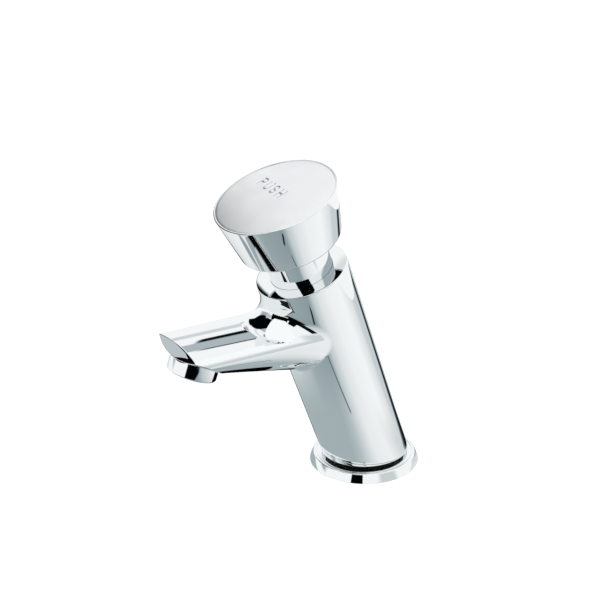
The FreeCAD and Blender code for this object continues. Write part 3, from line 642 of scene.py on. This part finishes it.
def letters():
    """The strokes of P, U, S and H, each letter in its own box from its lower left corner."""
    h, w, s = LETTER_HEIGHT, LETTER_WIDTH, STROKE / 2
    top, right, middle = h - s, w - s, w / 2
    bowl, bend, curl = h * P_BOWL - s, middle - s, (h - 2 * s) / 4
    waist, bowl_x = top - 2 * bowl, right - bowl
    return [
        [bar(s, s, s, top), bar(s, top, bowl_x, top), bar(s, waist, bowl_x, waist),
         bow(bowl_x, top - bowl, bowl, -90, 90)],
        [bar(s, middle, s, top), bar(right, middle, right, top), bow(middle, middle, bend, -180, 0)],
        [bow(middle, top - curl, curl, 20, 270), bow(middle, s + curl, curl, -160, 90)],
        [bar(s, s, s, top), bar(right, s, right, top), bar(s, h / 2, right, h / 2)],
    ]


def word_depth(x, y):
    """How deep the word is pressed at each point, from 0 to LETTER_DEPTH."""
    length = LETTER_PITCH * 3 + LETTER_WIDTH
    nearest = np.full(x.shape, LETTER_HEIGHT)
    for place, strokes in enumerate(letters()):
        left, low = WORD_X - length / 2 + place * LETTER_PITCH, WORD_Y - LETTER_HEIGHT / 2
        for stroke in strokes:
            nearest = np.minimum(nearest, stroke(x - left, y - low))
    return LETTER_DEPTH * ease((STROKE / 2 + LETTER_WALL / 2 - nearest) / LETTER_WALL)


# %% [markdown]
# ### The plate
#
# A shallow dome of satin metal. A grid fine enough for the letters would be heavy all over, so it
# covers only the word. A second grid fans out from its border to the plate's edge, and shares its
# points, so no seam shows.

# %% The plate
PLATE_RADIUS, PLATE_EDGE, PLATE_DOME, PLATE_EASE = 26.47, 145.7, 0.8, 0.3
BALL = (PLATE_RADIUS ** 2 + PLATE_DOME ** 2) / (2 * PLATE_DOME)
WORD_HALF_X, WORD_HALF_Y = 10.6, 3.9


def dome(x, y):
    """Height of the plate: a ball of radius BALL, PLATE_DOME higher in the middle than at the edge."""
    return PLATE_EDGE + PLATE_DOME - BALL + np.sqrt(BALL ** 2 - x * x - y * y)


xs = np.linspace(WORD_X - WORD_HALF_X, WORD_X + WORD_HALF_X, 265)
ys = np.linspace(WORD_Y - WORD_HALF_Y, WORD_Y + WORD_HALF_Y, 98)
gx, gy = np.meshgrid(xs, ys)
fine = np.stack([gx, gy, dome(gx, gy) - word_depth(gx, gy)], -1)
border = np.concatenate([fine[0, :-1], fine[:-1, -1], fine[-1, :0:-1], fine[:0:-1, 0]])
angle = np.arctan2(border[:, 1], border[:, 0])
away = polar(PLATE_RADIUS - PLATE_EASE, angle, 0)
blend_in = np.linspace(0, 1, 30)[:, None, None]
fan = border * (1 - blend_in) + away * blend_in
fan[..., 2] = dome(fan[..., 0], fan[..., 1])
edge = polar(PLATE_RADIUS, angle, PLATE_EDGE)
rim = eased(fan[-1], edge, polar(PLATE_RADIUS, angle, PLATE_EDGE - PLATE_EASE))
under = np.stack([polar(radius, angle, PLATE_SEAT) for radius in (PLATE_RADIUS, PLATE_RADIUS / 2, 0.0)])
plate_skin = mesh_of_grids("plate_skin", [
    (on_column(fine), False), (on_column(fan), True),
    (on_column(np.concatenate([rim, under])), True)], 60.0)
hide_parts("cap_plate")
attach(plate_skin, "button")

# %% [markdown]
# ## The shank's thread
#
# Under the deck the tap ends in a half-inch pipe thread with 14 turns to the inch. A formula keeps
# it closed: the radius is a rounded wave whose phase is the height in turns minus the angle, and
# it fades to nothing at the relief and at both ends.

# %% Threaded shank
THREAD_PITCH, THREAD_DEPTH, CREST, CREST_FLATNESS = 25.4 / 14, 1.0, 10.4, 0.7
SHANK_FOOT, THREAD_HEAD, RUN_OUT = -46.0, 3.5, 1.5
RELIEF_AT, RELIEF_HALF, RELIEF_SLOPE, RELIEF_DEPTH = -28.8, 0.8, 0.5, 0.9
RING_SEAT, RING_SEAT_LOW, RING_SEAT_HIGH = 8.8, 5.0, 7.2
SHANK_TOP, WATERWAY, MOUTH, MOUTH_BEVEL = 16.8, 6.5, 6.9, 0.4

turns = np.linspace(0, 2 * math.pi, 96, endpoint=False)
heights = np.arange(SHANK_FOOT, THREAD_HEAD + 0.5, THREAD_PITCH / 10)[:, None]
wave = (1 + np.cos(2 * math.pi * (heights / THREAD_PITCH - turns / (2 * math.pi)))) / 2
fade = np.clip((heights - SHANK_FOOT) / RUN_OUT, 0, 1) * np.clip((THREAD_HEAD - heights) / RUN_OUT, 0, 1)
relief = np.clip(1 - (np.abs(heights - RELIEF_AT) - RELIEF_HALF) / RELIEF_SLOPE, 0, 1)
cut = THREAD_DEPTH * (1 - wave ** CREST_FLATNESS) * fade * (1 - relief)
radius = CREST - cut - RELIEF_DEPTH * relief

outer = polar(radius, turns, heights)
plain = [(CREST, RING_SEAT_LOW), (RING_SEAT, RING_SEAT_LOW), (RING_SEAT, RING_SEAT_HIGH),
         (CREST, RING_SEAT_HIGH), (CREST, SHANK_TOP), (WATERWAY, SHANK_TOP),
         (WATERWAY, SHANK_FOOT + MOUTH_BEVEL), (MOUTH, SHANK_FOOT)]
rest = np.stack([polar(r, turns, z) for r, z in plain] + [outer[0]])
shank_skin = mesh_of_grids("shank_skin", [(np.concatenate([outer, rest]), True)], 40.0)
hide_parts("threaded_shank")
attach(shank_skin, "tap")

# %% [markdown]
# ### Return spring
#
# The spring sits in the valve: rings of points carried along a helix. A screw modifier could make
# it, but a plain mesh can be squashed.

# %% Return spring
SPRING_FOOT, SPRING_HEAD, SPRING_TURNS = 62.8, 83.7, 6
SPRING_RADIUS, WIRE_RADIUS, PUSH = 7.6, 0.6, 9.0

turn = np.linspace(0, 2 * math.pi * SPRING_TURNS, 48 * SPRING_TURNS + 1)[:, None]
wire = np.linspace(0, 2 * math.pi, 12, endpoint=False)
height = np.linspace(SPRING_FOOT + WIRE_RADIUS, SPRING_HEAD - WIRE_RADIUS, len(turn))[:, None]


def wire_rows(thickness):
    """Rings round the helix: distance from the axis is R + t cos, and height is h + t sin."""
    out = SPRING_RADIUS + thickness * np.cos(wire)
    return polar(out, turn, height + thickness * np.sin(wire))


middle_rows = wire_rows(0.0)
coil = np.concatenate([middle_rows[:1], wire_rows(WIRE_RADIUS), middle_rows[-1:]])
spring_skin = mesh_of_grids("spring_skin", [(on_column(coil), True)], 60.0)
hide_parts("return_spring")
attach(spring_skin, "tap")
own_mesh(spring_skin)

# %% [markdown]
# ## Materials
#
# Each finish starts from what the real one is made of. Colours are written as on a screen. One
# small function adds a shader node with its settings and its links, so that every recipe reads
# from top to bottom.

# %% Colour and node helpers
MIX_A, MIX_B, MIX_OUT = 6, 7, 2         # the colour sockets of a Mix node


def linear_light(value):
    """Brightness as on a screen, from 0 to 1, turned to linear light by the sRGB curve."""
    return np.where(value <= 0.04045, value / 12.92, ((value + 0.055) / 1.055) ** 2.4)


def linear(code):
    """A hex colour as linear red, green, blue and alpha."""
    parts = np.array([int(code[i:i + 2], 16) / 255 for i in (1, 3, 5)])
    return [*linear_light(parts).tolist(), 1.0]


def add(tree, kind, links=None, **settings):
    """Adds one shader node, sets its properties and its sockets, and links other sockets to it."""
    made = tree.nodes.new("ShaderNode" + kind)
    for name, value in settings.items():
        if name in made.bl_rna.properties:
            setattr(made, name, value)
        else:
            made.inputs[name.replace("_", " ")].default_value = value
    for name, source in (links or {}).items():
        tree.links.new(source, made.inputs[name])
    return made


def finish(name, hex_code, metallic, roughness, **more):
    """A material with one Principled shader, and its tree and shader for further nodes."""
    made = bpy.data.materials.new(name)
    made.use_nodes = True
    tree = made.node_tree
    shader = tree.nodes["Principled BSDF"]
    shader.inputs["Base Color"].default_value = linear(hex_code)
    shader.inputs["Metallic"].default_value = metallic
    shader.inputs["Roughness"].default_value = roughness
    for socket, value in more.items():
        shader.inputs[socket.replace("_", " ")].default_value = value
    return made, tree, shader


def wear(tree, shader, patch_mm, low, high, grain_mm=None, height_mm=0.0):
    """Lets the roughness wander between two values in patches, and adds a relief of fine grain."""
    place = add(tree, "TexCoord").outputs["Object"]
    patches = add(tree, "TexNoise", {"Vector": place}, Scale=1 / (patch_mm * MM), Detail=3.0)
    spread = add(tree, "MapRange", {"Value": patches.outputs["Fac"]},
                 From_Min=0.35, From_Max=0.65, To_Min=low, To_Max=high)
    tree.links.new(spread.outputs["Result"], shader.inputs["Roughness"])
    if grain_mm:
        grain = add(tree, "TexNoise", {"Vector": place}, Scale=1 / (grain_mm * MM), Detail=2.0)
        bump = add(tree, "Bump", {"Height": grain.outputs["Fac"]}, Strength=1.0, Distance=height_mm * MM)
        tree.links.new(bump.outputs["Normal"], shader.inputs["Normal"])
    return patches.outputs["Fac"]


# %% [markdown]
# ### Chrome plate
#
# Bright chrome over polished brass is read by its hard mirror images. Its polish wanders a little
# where cloths and water have dulled it, in patches of about a centimetre.

# %% Chrome
# wear takes the size of the patches in mm, two roughnesses, and the grain's size and height in mm.
chrome, tree, shader = finish("chrome plate", "#EEF1F2", 1.0, 0.02)
wear(tree, shader, 12.0, 0.012, 0.03)

# %% [markdown]
# ### Satin plate and painted shade in hollows
#
# The button's top is blasted with fine glass beads, so it spreads light into a soft sheen. Their
# grain is drawn at 0.35 mm, so that it holds together in a small picture. The struck letters are a
# little rougher, and darker as painted shade in their grooves. The button's hollow and the joint
# under the column get a near-black finish, which is painted shade.

# %% Satin chrome
satin, tree, shader = finish("satin chrome", "#F5F6F7", 1.0, 0.32)
wear(tree, shader, 9.0, 0.29, 0.36, 0.35, 0.002)

# The letters' floor: a rougher satin, and darker as painted shade in the grooves.
letters_rough_with_painted_shade, tree, shader = finish("satin chrome with painted shade in the letters", "#CDD2D5", 1.0, 0.36)
wear(tree, shader, 2.0, 0.33, 0.40, 0.35, 0.004)

# A near-black finish for the button's hollow and the joint under the column: painted shade.
painted_shade, tree, shader = finish("near-black painted shade", "#151310", 0.8, 0.6)
wear(tree, shader, 4.0, 0.5, 0.7, 0.8, 0.03)

# %% [markdown]
# ### Brass, steel, rubber and plastic
#
# The pieces under the deck and inside: turned brass with a fine grain, brushed stainless steel,
# dull rubber with a dusty bloom, and waxy moulded plastic.

# %% The other finishes
brass, tree, shader = finish("turned brass", "#C9A45C", 1.0, 0.28)
wear(tree, shader, 3.0, 0.22, 0.36, 0.5, 0.01)

steel, tree, shader = finish("brushed stainless", "#B4B6B8", 1.0, 0.30)
LINE_LENGTH, LINE_WIDTH = 1 / 120, 1 / 2400     # of the brushing, in metres
place = add(tree, "TexCoord").outputs["Object"]
stretch = add(tree, "Mapping", {"Vector": place},
              Scale=(1 / LINE_LENGTH, 1 / LINE_WIDTH, 1 / LINE_WIDTH))
lines = add(tree, "TexNoise", {"Vector": stretch.outputs["Vector"]}, Scale=1.0, Detail=2.0)
spread = add(tree, "MapRange", {"Value": lines.outputs["Fac"]},
             From_Min=0.3, From_Max=0.7, To_Min=0.22, To_Max=0.42)
tree.links.new(spread.outputs["Result"], shader.inputs["Roughness"])

rubber, tree, shader = finish("black rubber", "#1C1C1D", 0.0, 0.75, IOR=1.52)
bloom = wear(tree, shader, 6.0, 0.65, 0.85, 0.4, 0.02)
dust = add(tree, "Mix", {"Factor": bloom}, data_type="RGBA")
dust.inputs[MIX_A].default_value = linear("#161617")
dust.inputs[MIX_B].default_value = linear("#2A2A2B")
tree.links.new(dust.outputs[MIX_OUT], shader.inputs["Base Color"])

plastic, tree, shader = finish("acetal plastic", "#E4E2DB", 0.0, 0.42, IOR=1.48)
wear(tree, shader, 5.0, 0.36, 0.48, 0.6, 0.01)

# %% [markdown]
# ### Which piece gets which finish
#
# The record names a slot for each metal piece, and the slot picks the finish. Some faces of the
# new skins take a second one: painted shade in the button's hollow and in the joint under the column,
# and a darker, rougher satin in the letters, whose darkness is painted shade.

# %% Hand out the materials
HOLLOW_CEILING, HOLLOW_EDGE, HOLLOW_SLOPE = 141.6, 20.5, 0.2
LETTER_FLOOR = 0.6                      # the share of LETTER_DEPTH at which the floor begins

by_slot = {"chrome": chrome, "satin_metal": satin, "brass": brass,
           "steel": steel, "rubber": rubber, "plastic": plastic}
for part in frame["record"]["subparts"]:
    piece = frame["nodes"][part["node"]]
    piece.data.materials.clear()
    piece.data.materials.append(by_slot[part["material_slot"]])
for piece in (body_skin, flange_skin, neck_skin, button_skin, aerator_skin):
    piece.data.materials.append(chrome)
    piece.data.materials.append(painted_shade)
plate_skin.data.materials.append(satin)
plate_skin.data.materials.append(letters_rough_with_painted_shade)
shank_skin.data.materials.append(brass)
spring_skin.data.materials.append(steel)


def face_centres(piece):
    """The middle of every face of a piece, in mm."""
    centres = np.empty(len(piece.data.polygons) * 3)
    piece.data.polygons.foreach_get("center", centres)
    return centres.reshape(-1, 3) / MM


def second_material(piece, where):
    """Gives a piece's second material to the faces where a condition holds."""
    piece.data.polygons.foreach_set("material_index", where.astype(np.int32))
    piece.data.update()
    print(piece.name, "faces of the second material:", int(where.sum()))


# Painted shade: the button's hollow and the joint under the column take the near-black finish.
x, y, up = off_column(face_centres(button_skin)).T
hollow_wall = HOLLOW_EDGE + (up - BUTTON_FOOT) * HOLLOW_SLOPE
second_material(button_skin, (up < HOLLOW_CEILING) & (np.hypot(x, y) < hollow_wall))
second_material(body_skin, face_centres(body_skin)[:, 2] < FLANGE_TOP + JOINT_GAP - 2 * SMALL_STEP)
# The letters' floor takes the darker satin: painted shade in the grooves, and a rougher grain.
x, y, up = off_column(face_centres(plate_skin)).T
second_material(plate_skin, word_depth(x, y) > LETTER_FLOOR * LETTER_DEPTH)
print("materials:", [m.name for m in by_slot.values()])

# %% [markdown]
# ## The studio
#
# The tap stands on a white ground under plain light from all round. Chrome in such a room would be
# white on white, so a photographer builds a tent of white, grey and black cards. It is seen only
# in mirrors, never by the camera itself, and casts no shadow.

# %% Floor and world
FLOOR_HALF, FLOOR_LIFT = 6, 0.35        # in metres, and the glow that makes the ground white
ROOM_LIGHT, ROOM_SEEN = 0.85, 1.0       # the world as it lights the tap, and as it is seen


def seen_rays(tree):
    """A socket that is 1 for rays of the camera, of mirrors and of glass, and 0 for lighting."""
    rays = add(tree, "LightPath").outputs
    seen = rays["Is Camera Ray"]
    for kind in ("Is Glossy Ray", "Is Transmission Ray"):
        seen = add(tree, "Math", {0: seen, 1: rays[kind]}, operation="MAXIMUM").outputs[0]
    return seen


corners = FLOOR_HALF * np.array([(-1, -1, 0), (1, -1, 0), (1, 1, 0), (-1, 1, 0)])
floor = new_object("floor", corners, np.array([(0, 1, 2, 3)]))
ground, tree, shader = finish("white ground", "#F4F4F4", 0.0, 0.9,
                              Specular_IOR_Level=0.0, Emission_Color=(1, 1, 1, 1))
lift = add(tree, "MapRange", {"Value": seen_rays(tree)}, To_Min=0.0, To_Max=FLOOR_LIFT)
tree.links.new(lift.outputs["Result"], shader.inputs["Emission Strength"])
floor.data.materials.append(ground)

world = bpy.data.worlds.new("white room")
bpy.context.scene.world = world
world.use_nodes = True
tree = world.node_tree
level = add(tree, "MapRange", {"Value": seen_rays(tree)}, To_Min=ROOM_LIGHT, To_Max=ROOM_SEEN)
light = tree.nodes["Background"]
light.inputs["Color"].default_value = (1, 1, 1, 1)
tree.links.new(level.outputs["Result"], light.inputs["Strength"])

# %% [markdown]
# ### The tent of cards
#
# The cards hang on a round wall about a third of a metre from the tap. A bearing of 0 degrees is
# straight ahead of the spout and 90 is to the tap's right. Each card is a patch of bearing and
# height with its brightness, as the eye reads it in the mirror from 0 to 255, and soft edges.
# Later cards hang in front of earlier ones.

# %% Cards on the wall
TENT_RADIUS, TENT_HEIGHT, TENT_Y = 0.35, 0.80, -0.04
WHITE, BLACK, DARK = 240.0, 4, 5
WALL_CARDS = [
    # bearings, heights in metres, brightness, softness of the sides in degrees and of the ends in mm
    (98, 132, -0.1, 0.30, 202, 12, 340),    # pale sheet on the right, brighter towards its top
    (-75, 19, 0.39, 0.90, 180, 4, 30),      # grey sheet above the black screen
    (-135, -75, 0.39, 0.44, 215, 4, 30),    # its narrow part on the left
    (-24, 19, 0.175, 0.60, 180, 3, 20),     # and beside it
    (17.5, 20.5, 0.27, 0.60, 70, 2, 20),    # its dark edge
    (-62, -30, 0.05, 0.14, 165, 16, 20),    # grey strip under the screen
    (62, 95, 0.0, 0.085, 15, 4, 12),        # end of the table on the right
    (28, 64, -0.1, 0.088, 6, 4, 6),         # dark edge of the table
    (37, 62, -0.1, 0.185, 4, 1.5, 5),       # black card beside the camera
    (-93, -14, 0.175, 0.295, 4, 3, 12),     # lower part of the black screen, square
    (-64, -30, 0.125, 0.19, 4, 6, 12),      # and its foot
    (-121, -104, 0.212, 0.228, 205, 2, 5),  # faint bar on the left
    (-121, -104, 0.264, 0.302, 178, 2, 3),  # grey bar on the left
    (-116.3, -110.3, 0.250, 0.264, 8, 1, 2),  # black bar on the left
    (-121, -112, 0.301, 0.307, 90, 2, 2),   # thin dark bar on the left
]
SCREEN_AT, SCREEN_SIZE, SCREEN_SOFT = (-52, 0.312), (38, 0.195), 0.06


def between(value, low, high, soft_low, soft_high):
    """1 between low and high and 0 outside, each limit softened over its own width."""
    return ease((value - low) / soft_low + 0.5) * ease((high - value) / soft_high + 0.5)


def hang(cards, bearing, height):
    """The brightness of a white wall, with the cards painted over it one by one."""
    level = np.full(bearing.shape, WHITE)
    for left, right, low, high, shade, side, end in cards:
        across = between(bearing, left, right, side, side)
        level += (shade - level) * across * between(height, low, high, end * MM, end * MM)
    return level


def wall_brightness(bearing, height):
    """The wall at first sight: the cards, and a black screen with a round top."""
    level = hang(WALL_CARDS, bearing, height)
    off = np.hypot((bearing - SCREEN_AT[0]) / SCREEN_SIZE[0], (height - SCREEN_AT[1]) / SCREEN_SIZE[1])
    return level + (BLACK - level) * ease((1 - off) / SCREEN_SOFT + 0.5)


# %% [markdown]
# ### What shows in two mirrors
#
# Where one part of the tap mirrors another, every card would turn up a second time. So the wall
# and the roof have a second, plainer look for rays that have met metal before.

# %% Cards for the second mirror
AGAIN_CARDS = [
    (-200, 200, 0.37, 0.90, 175, 3, 60),    # the room above the sheets
    (-75, 120, 0.20, 0.62, 240, 10, 40),    # white sheet ahead
    (-10, 31, 0.58, 0.90, 6, 8, 30),        # black card high ahead
    (-4, 29, 0.425, 0.60, 30, 4, 10),       # and its lower end
    (-66, -44, 0.42, 0.56, 160, 8, 40),     # grey card on the left
    (34.5, 77, 0.06, 0.385, 5, 3, 10),      # black card beside the camera
]
ROOF_ONCE, ROOF_AGAIN = 250, 215
ROOF_CARD = (-0.03, 0.165, 0.10, 0.03)  # left and right edge and their softness, in metres
ROOF_CARD_BACK, ROOF_CARD_SOFT = -0.12, 0.02


def roof_brightness(x, y):
    """The roof seen in two mirrors: pale grey, with a black card ahead of the spout."""
    dark = between(x, *ROOF_CARD) * ease((ROOF_CARD_BACK - y) / ROOF_CARD_SOFT + 0.5)
    return ROOF_AGAIN + (DARK - ROOF_AGAIN) * dark


# %% [markdown]
# ### Sheets on the floor
#
# The column and the flange mirror mostly the floor. Round the foot lie sheets whose brightness
# changes with the bearing, one way near the foot and another further out. Strips run over them,
# and ahead the table ends in the dark.

# %% The floor of the tent
FLOOR_NEAR = [(-180, 205), (-165, 235), (-140, 240), (-110, 220), (-90, 205), (-75, 170), (45, 170),
              (60, 185), (75, 210), (90, 230), (120, 235), (155, 210), (180, 205)]
FLOOR_FAR = [(-180, 200), (-110, 200), (-75, 210), (-55, 225), (-25, 235), (5, 200), (20, 160), (60, 150),
             (70, 195), (85, 220), (110, 235), (145, 240), (170, 220), (180, 200)]
NEAR_END, FAR_START = 0.045, 0.105
FLOOR_STRIPS = [
    # both ends in mm, half the width at each end in mm, brightness
    (-2, 34, -158, 298, 7, 26, 25),         # black strip behind the tap
    (-30, -10, -200, 8, 6, 24, 72),         # dark strip on the left
    (-22, 13, -300, 180, 2, 20, 60),        # thin strip behind on the left
    (56, -24, 84, -48, 1.2, 1.6, 105),      # thin line where two sheets meet
    (94, -66, 110, -66.5, 2.0, 2.0, 25),    # and their dark hem further out
]
STRIP_FULL, STRIP_GONE = 0.4, 2.0       # as shares of half the strip's width
TABLE_END, TABLE_SOFT = 0.255, 0.03
TABLE_SIDES = (-22, 63, 8, 6)           # left and right edge and their softness, in degrees


def floor_brightness(x, y):
    """The floor at x, y in metres: sectors round the foot, the table's dark end, then the strips."""
    bearing, reach = np.degrees(np.arctan2(x, -y)), np.hypot(x, y)
    near = np.interp(bearing, *np.array(FLOOR_NEAR).T)
    far = np.interp(bearing, *np.array(FLOOR_FAR).T)
    level = near + (far - near) * ease((reach - NEAR_END) / (FAR_START - NEAR_END))
    ahead = between(bearing, *TABLE_SIDES)
    level += (DARK - level) * ahead * ease((reach - TABLE_END) / TABLE_SOFT + 0.5)
    for *ends, half_start, half_end, shade in FLOOR_STRIPS:
        off, along = from_line(x / MM, y / MM, *ends)
        half = half_start + (half_end - half_start) * along
        level += (shade - level) * ease((STRIP_GONE - off / half) / (STRIP_GONE - STRIP_FULL))
    return level


# %% [markdown]
# ### Cards that only mirrors see
#
# A card glows by two colours kept at its corners, one for rays that have met metal once and one
# for rays that have met it more often. The Light Path node's ray depth tells them apart.

# %% The cards' materials
def card_material(name, back_only):
    """Glows by one colour for rays from one mirror, and by another for rays from two or more.

    A card that shows on its back only is clear on its face, and for rays from two mirrors.
    """
    material = bpy.data.materials.new(name)
    material.use_nodes = True
    tree = material.node_tree
    tree.nodes.clear()
    once = add(tree, "Attribute", attribute_name="first")
    twice = add(tree, "Attribute", attribute_name="again")
    rays = add(tree, "LightPath")
    many = add(tree, "Math", {0: rays.outputs["Ray Depth"]}, operation="GREATER_THAN")
    many.inputs[1].default_value = 1.5  # so it is 1 from a ray depth of 2 on
    pick = add(tree, "Mix", {"Factor": many.outputs[0]}, data_type="RGBA")
    tree.links.new(once.outputs["Color"], pick.inputs[MIX_A])
    tree.links.new(twice.outputs["Color"], pick.inputs[MIX_B])
    glow = add(tree, "Emission", {"Color": pick.outputs[MIX_OUT]}, Strength=1.0)
    surface = glow.outputs["Emission"]
    if back_only:
        side = add(tree, "NewGeometry").outputs["Backfacing"]
        show = add(tree, "Math", {0: side, 1: many.outputs[0]}, operation="SUBTRACT", use_clamp=True)
        clear = add(tree, "BsdfTransparent")
        mix = add(tree, "MixShader", {0: show.outputs[0], 1: clear.outputs["BSDF"], 2: surface})
        surface = mix.outputs["Shader"]
    add(tree, "OutputMaterial", {"Surface": surface})
    return material


card = card_material("card", False)
one_sided = card_material("card seen from the back", True)

# %% [markdown]
# ### From brightness to a glowing mesh
#
# The metal takes some of the light, so a card glows a little more than its image. Greys are tinted
# cold, as the photograph's chrome is.

# %% Card meshes
MIRRORED, COLD = 0.84, np.array([-0.26, 0.0, 0.08])


def light_of(level):
    """The linear colour whose mirror image in chrome has the brightness: greys are a little cold."""
    value = linear_light(np.clip(level, 0, 255) / 255) / MIRRORED
    return value[..., None] * (1 + ease(1 - value)[..., None] * COLD)


def card_mesh(name, points, first, again, material=card):
    """A grid of points in metres that glows: once by one brightness, in two mirrors by another."""
    size = points.shape[:2]
    made = new_object(name, points.reshape(-1, 3), grid_faces(*size, False))
    for layer, level in (("first", first), ("again", again)):
        light = light_of(np.broadcast_to(np.asarray(level, float), size)).reshape(-1, 3)
        light = np.concatenate([light, np.ones((len(light), 1))], 1).astype(np.float32)
        colour = made.data.color_attributes.new(layer, "FLOAT_COLOR", "POINT")
        colour.data.foreach_set("color", light.ravel())
    made.data.materials.append(material)
    for ray in ("camera", "diffuse", "transmission", "shadow", "volume_scatter"):
        setattr(made, "visible_" + ray, False)
    return made


# %% [markdown]
# ### Putting up the tent
#
# The wall is a tube of points, the floor runs out to it from the flange's edge, closer together
# near the tap, and the roof shuts the top.

# %% Wall, floor and roof
FLOOR_HOLE, FLOOR_RISE = 0.0253, 0.0003

bearing = np.linspace(-180, 180, 1441)
wall_b, wall_h = np.meshgrid(bearing, np.linspace(0, TENT_HEIGHT, 401))
wall = polar(TENT_RADIUS, np.radians(wall_b - 90), wall_h) + np.array([0, TENT_Y, 0])
card_mesh("tent_wall", wall, wall_brightness(wall_b, wall_h), hang(AGAIN_CARDS, wall_b, wall_h))

out = np.linspace(0, 1, 161)[:, None, None] ** 1.5
inner = polar(FLOOR_HOLE, np.radians(bearing - 90), FLOOR_RISE)
carpet = inner + (wall[0] + np.array([0, 0, FLOOR_RISE]) - inner) * out
level = floor_brightness(carpet[..., 0], carpet[..., 1])
card_mesh("tent_floor", carpet, level, level)

peak = np.array([0, TENT_Y, TENT_HEIGHT])
roof = peak + (wall[-1] - peak) * np.linspace(0, 1, 81)[:, None, None]
card_mesh("tent_roof", roof, ROOF_ONCE, roof_brightness(roof[..., 0], roof[..., 1]))
print("cards of the wall:", len(WALL_CARDS), "and in two mirrors:", len(AGAIN_CARDS))

# %% [markdown]
# ### Small cards
#
# Four cards hang close to the tap. A black one lies under the spout and another stands ahead of
# its nose. A grey one gives the bevel an even tone, and a white one over the spout keeps the
# button's image off its right edge. They show on their back only, and only in one mirror, so they
# don't turn up where they aren't meant to.

# %% Four cards near the tap
NEAR_CARDS = [
    # name, middle, half its length, half its width, all in mm, and brightness
    ("card_under", (0, -60, 45), (0, 13, 0), (12, 0, 0), 4),
    ("card_ahead", (15.5, -105, 86), (29.5, 0, 0), (0, 0, 12), 4),
    ("card_bevel", (-23, -112, 90), (10.8, -16.8, 0), (2.8, 1.8, 7.2), 190),
    ("card_above", (13, -66, 90), (12, 0, 0), (0, 23, 0), 245),
]
for name, *places, level in NEAR_CARDS:
    centre, u, v = np.array(places, float) * MM
    corners = np.array([[centre - u - v, centre + u - v], [centre - u + v, centre + u + v]])
    card_mesh(name, corners, level, level, one_sided)

# %% [markdown]
# ### The lamp
#
# One large soft lamp from the front gives the floor a light shadow. Mirrors don't show it.

# %% Lamp
LAMP_SIZE, LAMP_POWER = 1.2, 6.0
LAMP_AT, LAMP_AIM = Vector((0.5, -1.3, 1.6)), Vector((0, -0.04, 0.07))

lamp = bpy.data.lights.new("soft box", "AREA")
lamp.shape, lamp.size, lamp.size_y, lamp.energy = "RECTANGLE", LAMP_SIZE, LAMP_SIZE, LAMP_POWER
lamp_object = bpy.data.objects.new("soft box", lamp)
lamp_object.location = LAMP_AT
lamp_object.rotation_euler = (LAMP_AIM - LAMP_AT).to_track_quat("-Z", "Y").to_euler()
lamp_object.visible_glossy = False
bpy.context.scene.collection.objects.link(lamp_object)

# %% [markdown]
# ## The camera
#
# A long lens about a metre away, looking down from the tap's right front. The direction was found
# by fitting the circles of the button, the flange and the aerator to the photograph.

# %% Camera
AZIMUTH, ELEVATION = math.radians(60.5), math.radians(24.86)
CAMERA_AT, LENS = (0.762323, -0.464858, 0.492644), 133.68

level_way = math.cos(ELEVATION)
back = Vector((math.sin(AZIMUTH) * level_way, -math.cos(AZIMUTH) * level_way, math.sin(ELEVATION)))
right = Vector((math.cos(AZIMUTH), math.sin(AZIMUTH), 0))
turn = Matrix((right, back.cross(right), back)).transposed()
camera = bpy.data.cameras.new("camera")
camera.lens, camera.sensor_width = LENS, 36.0
camera.clip_start, camera.clip_end = 0.05, 50.0
camera_object = bpy.data.objects.new("camera", camera)
camera_object.matrix_world = Matrix.Translation(CAMERA_AT) @ turn.to_4x4()
bpy.context.scene.collection.objects.link(camera_object)
bpy.context.scene.camera = camera_object
bpy.context.scene.view_settings.view_transform = "Standard"
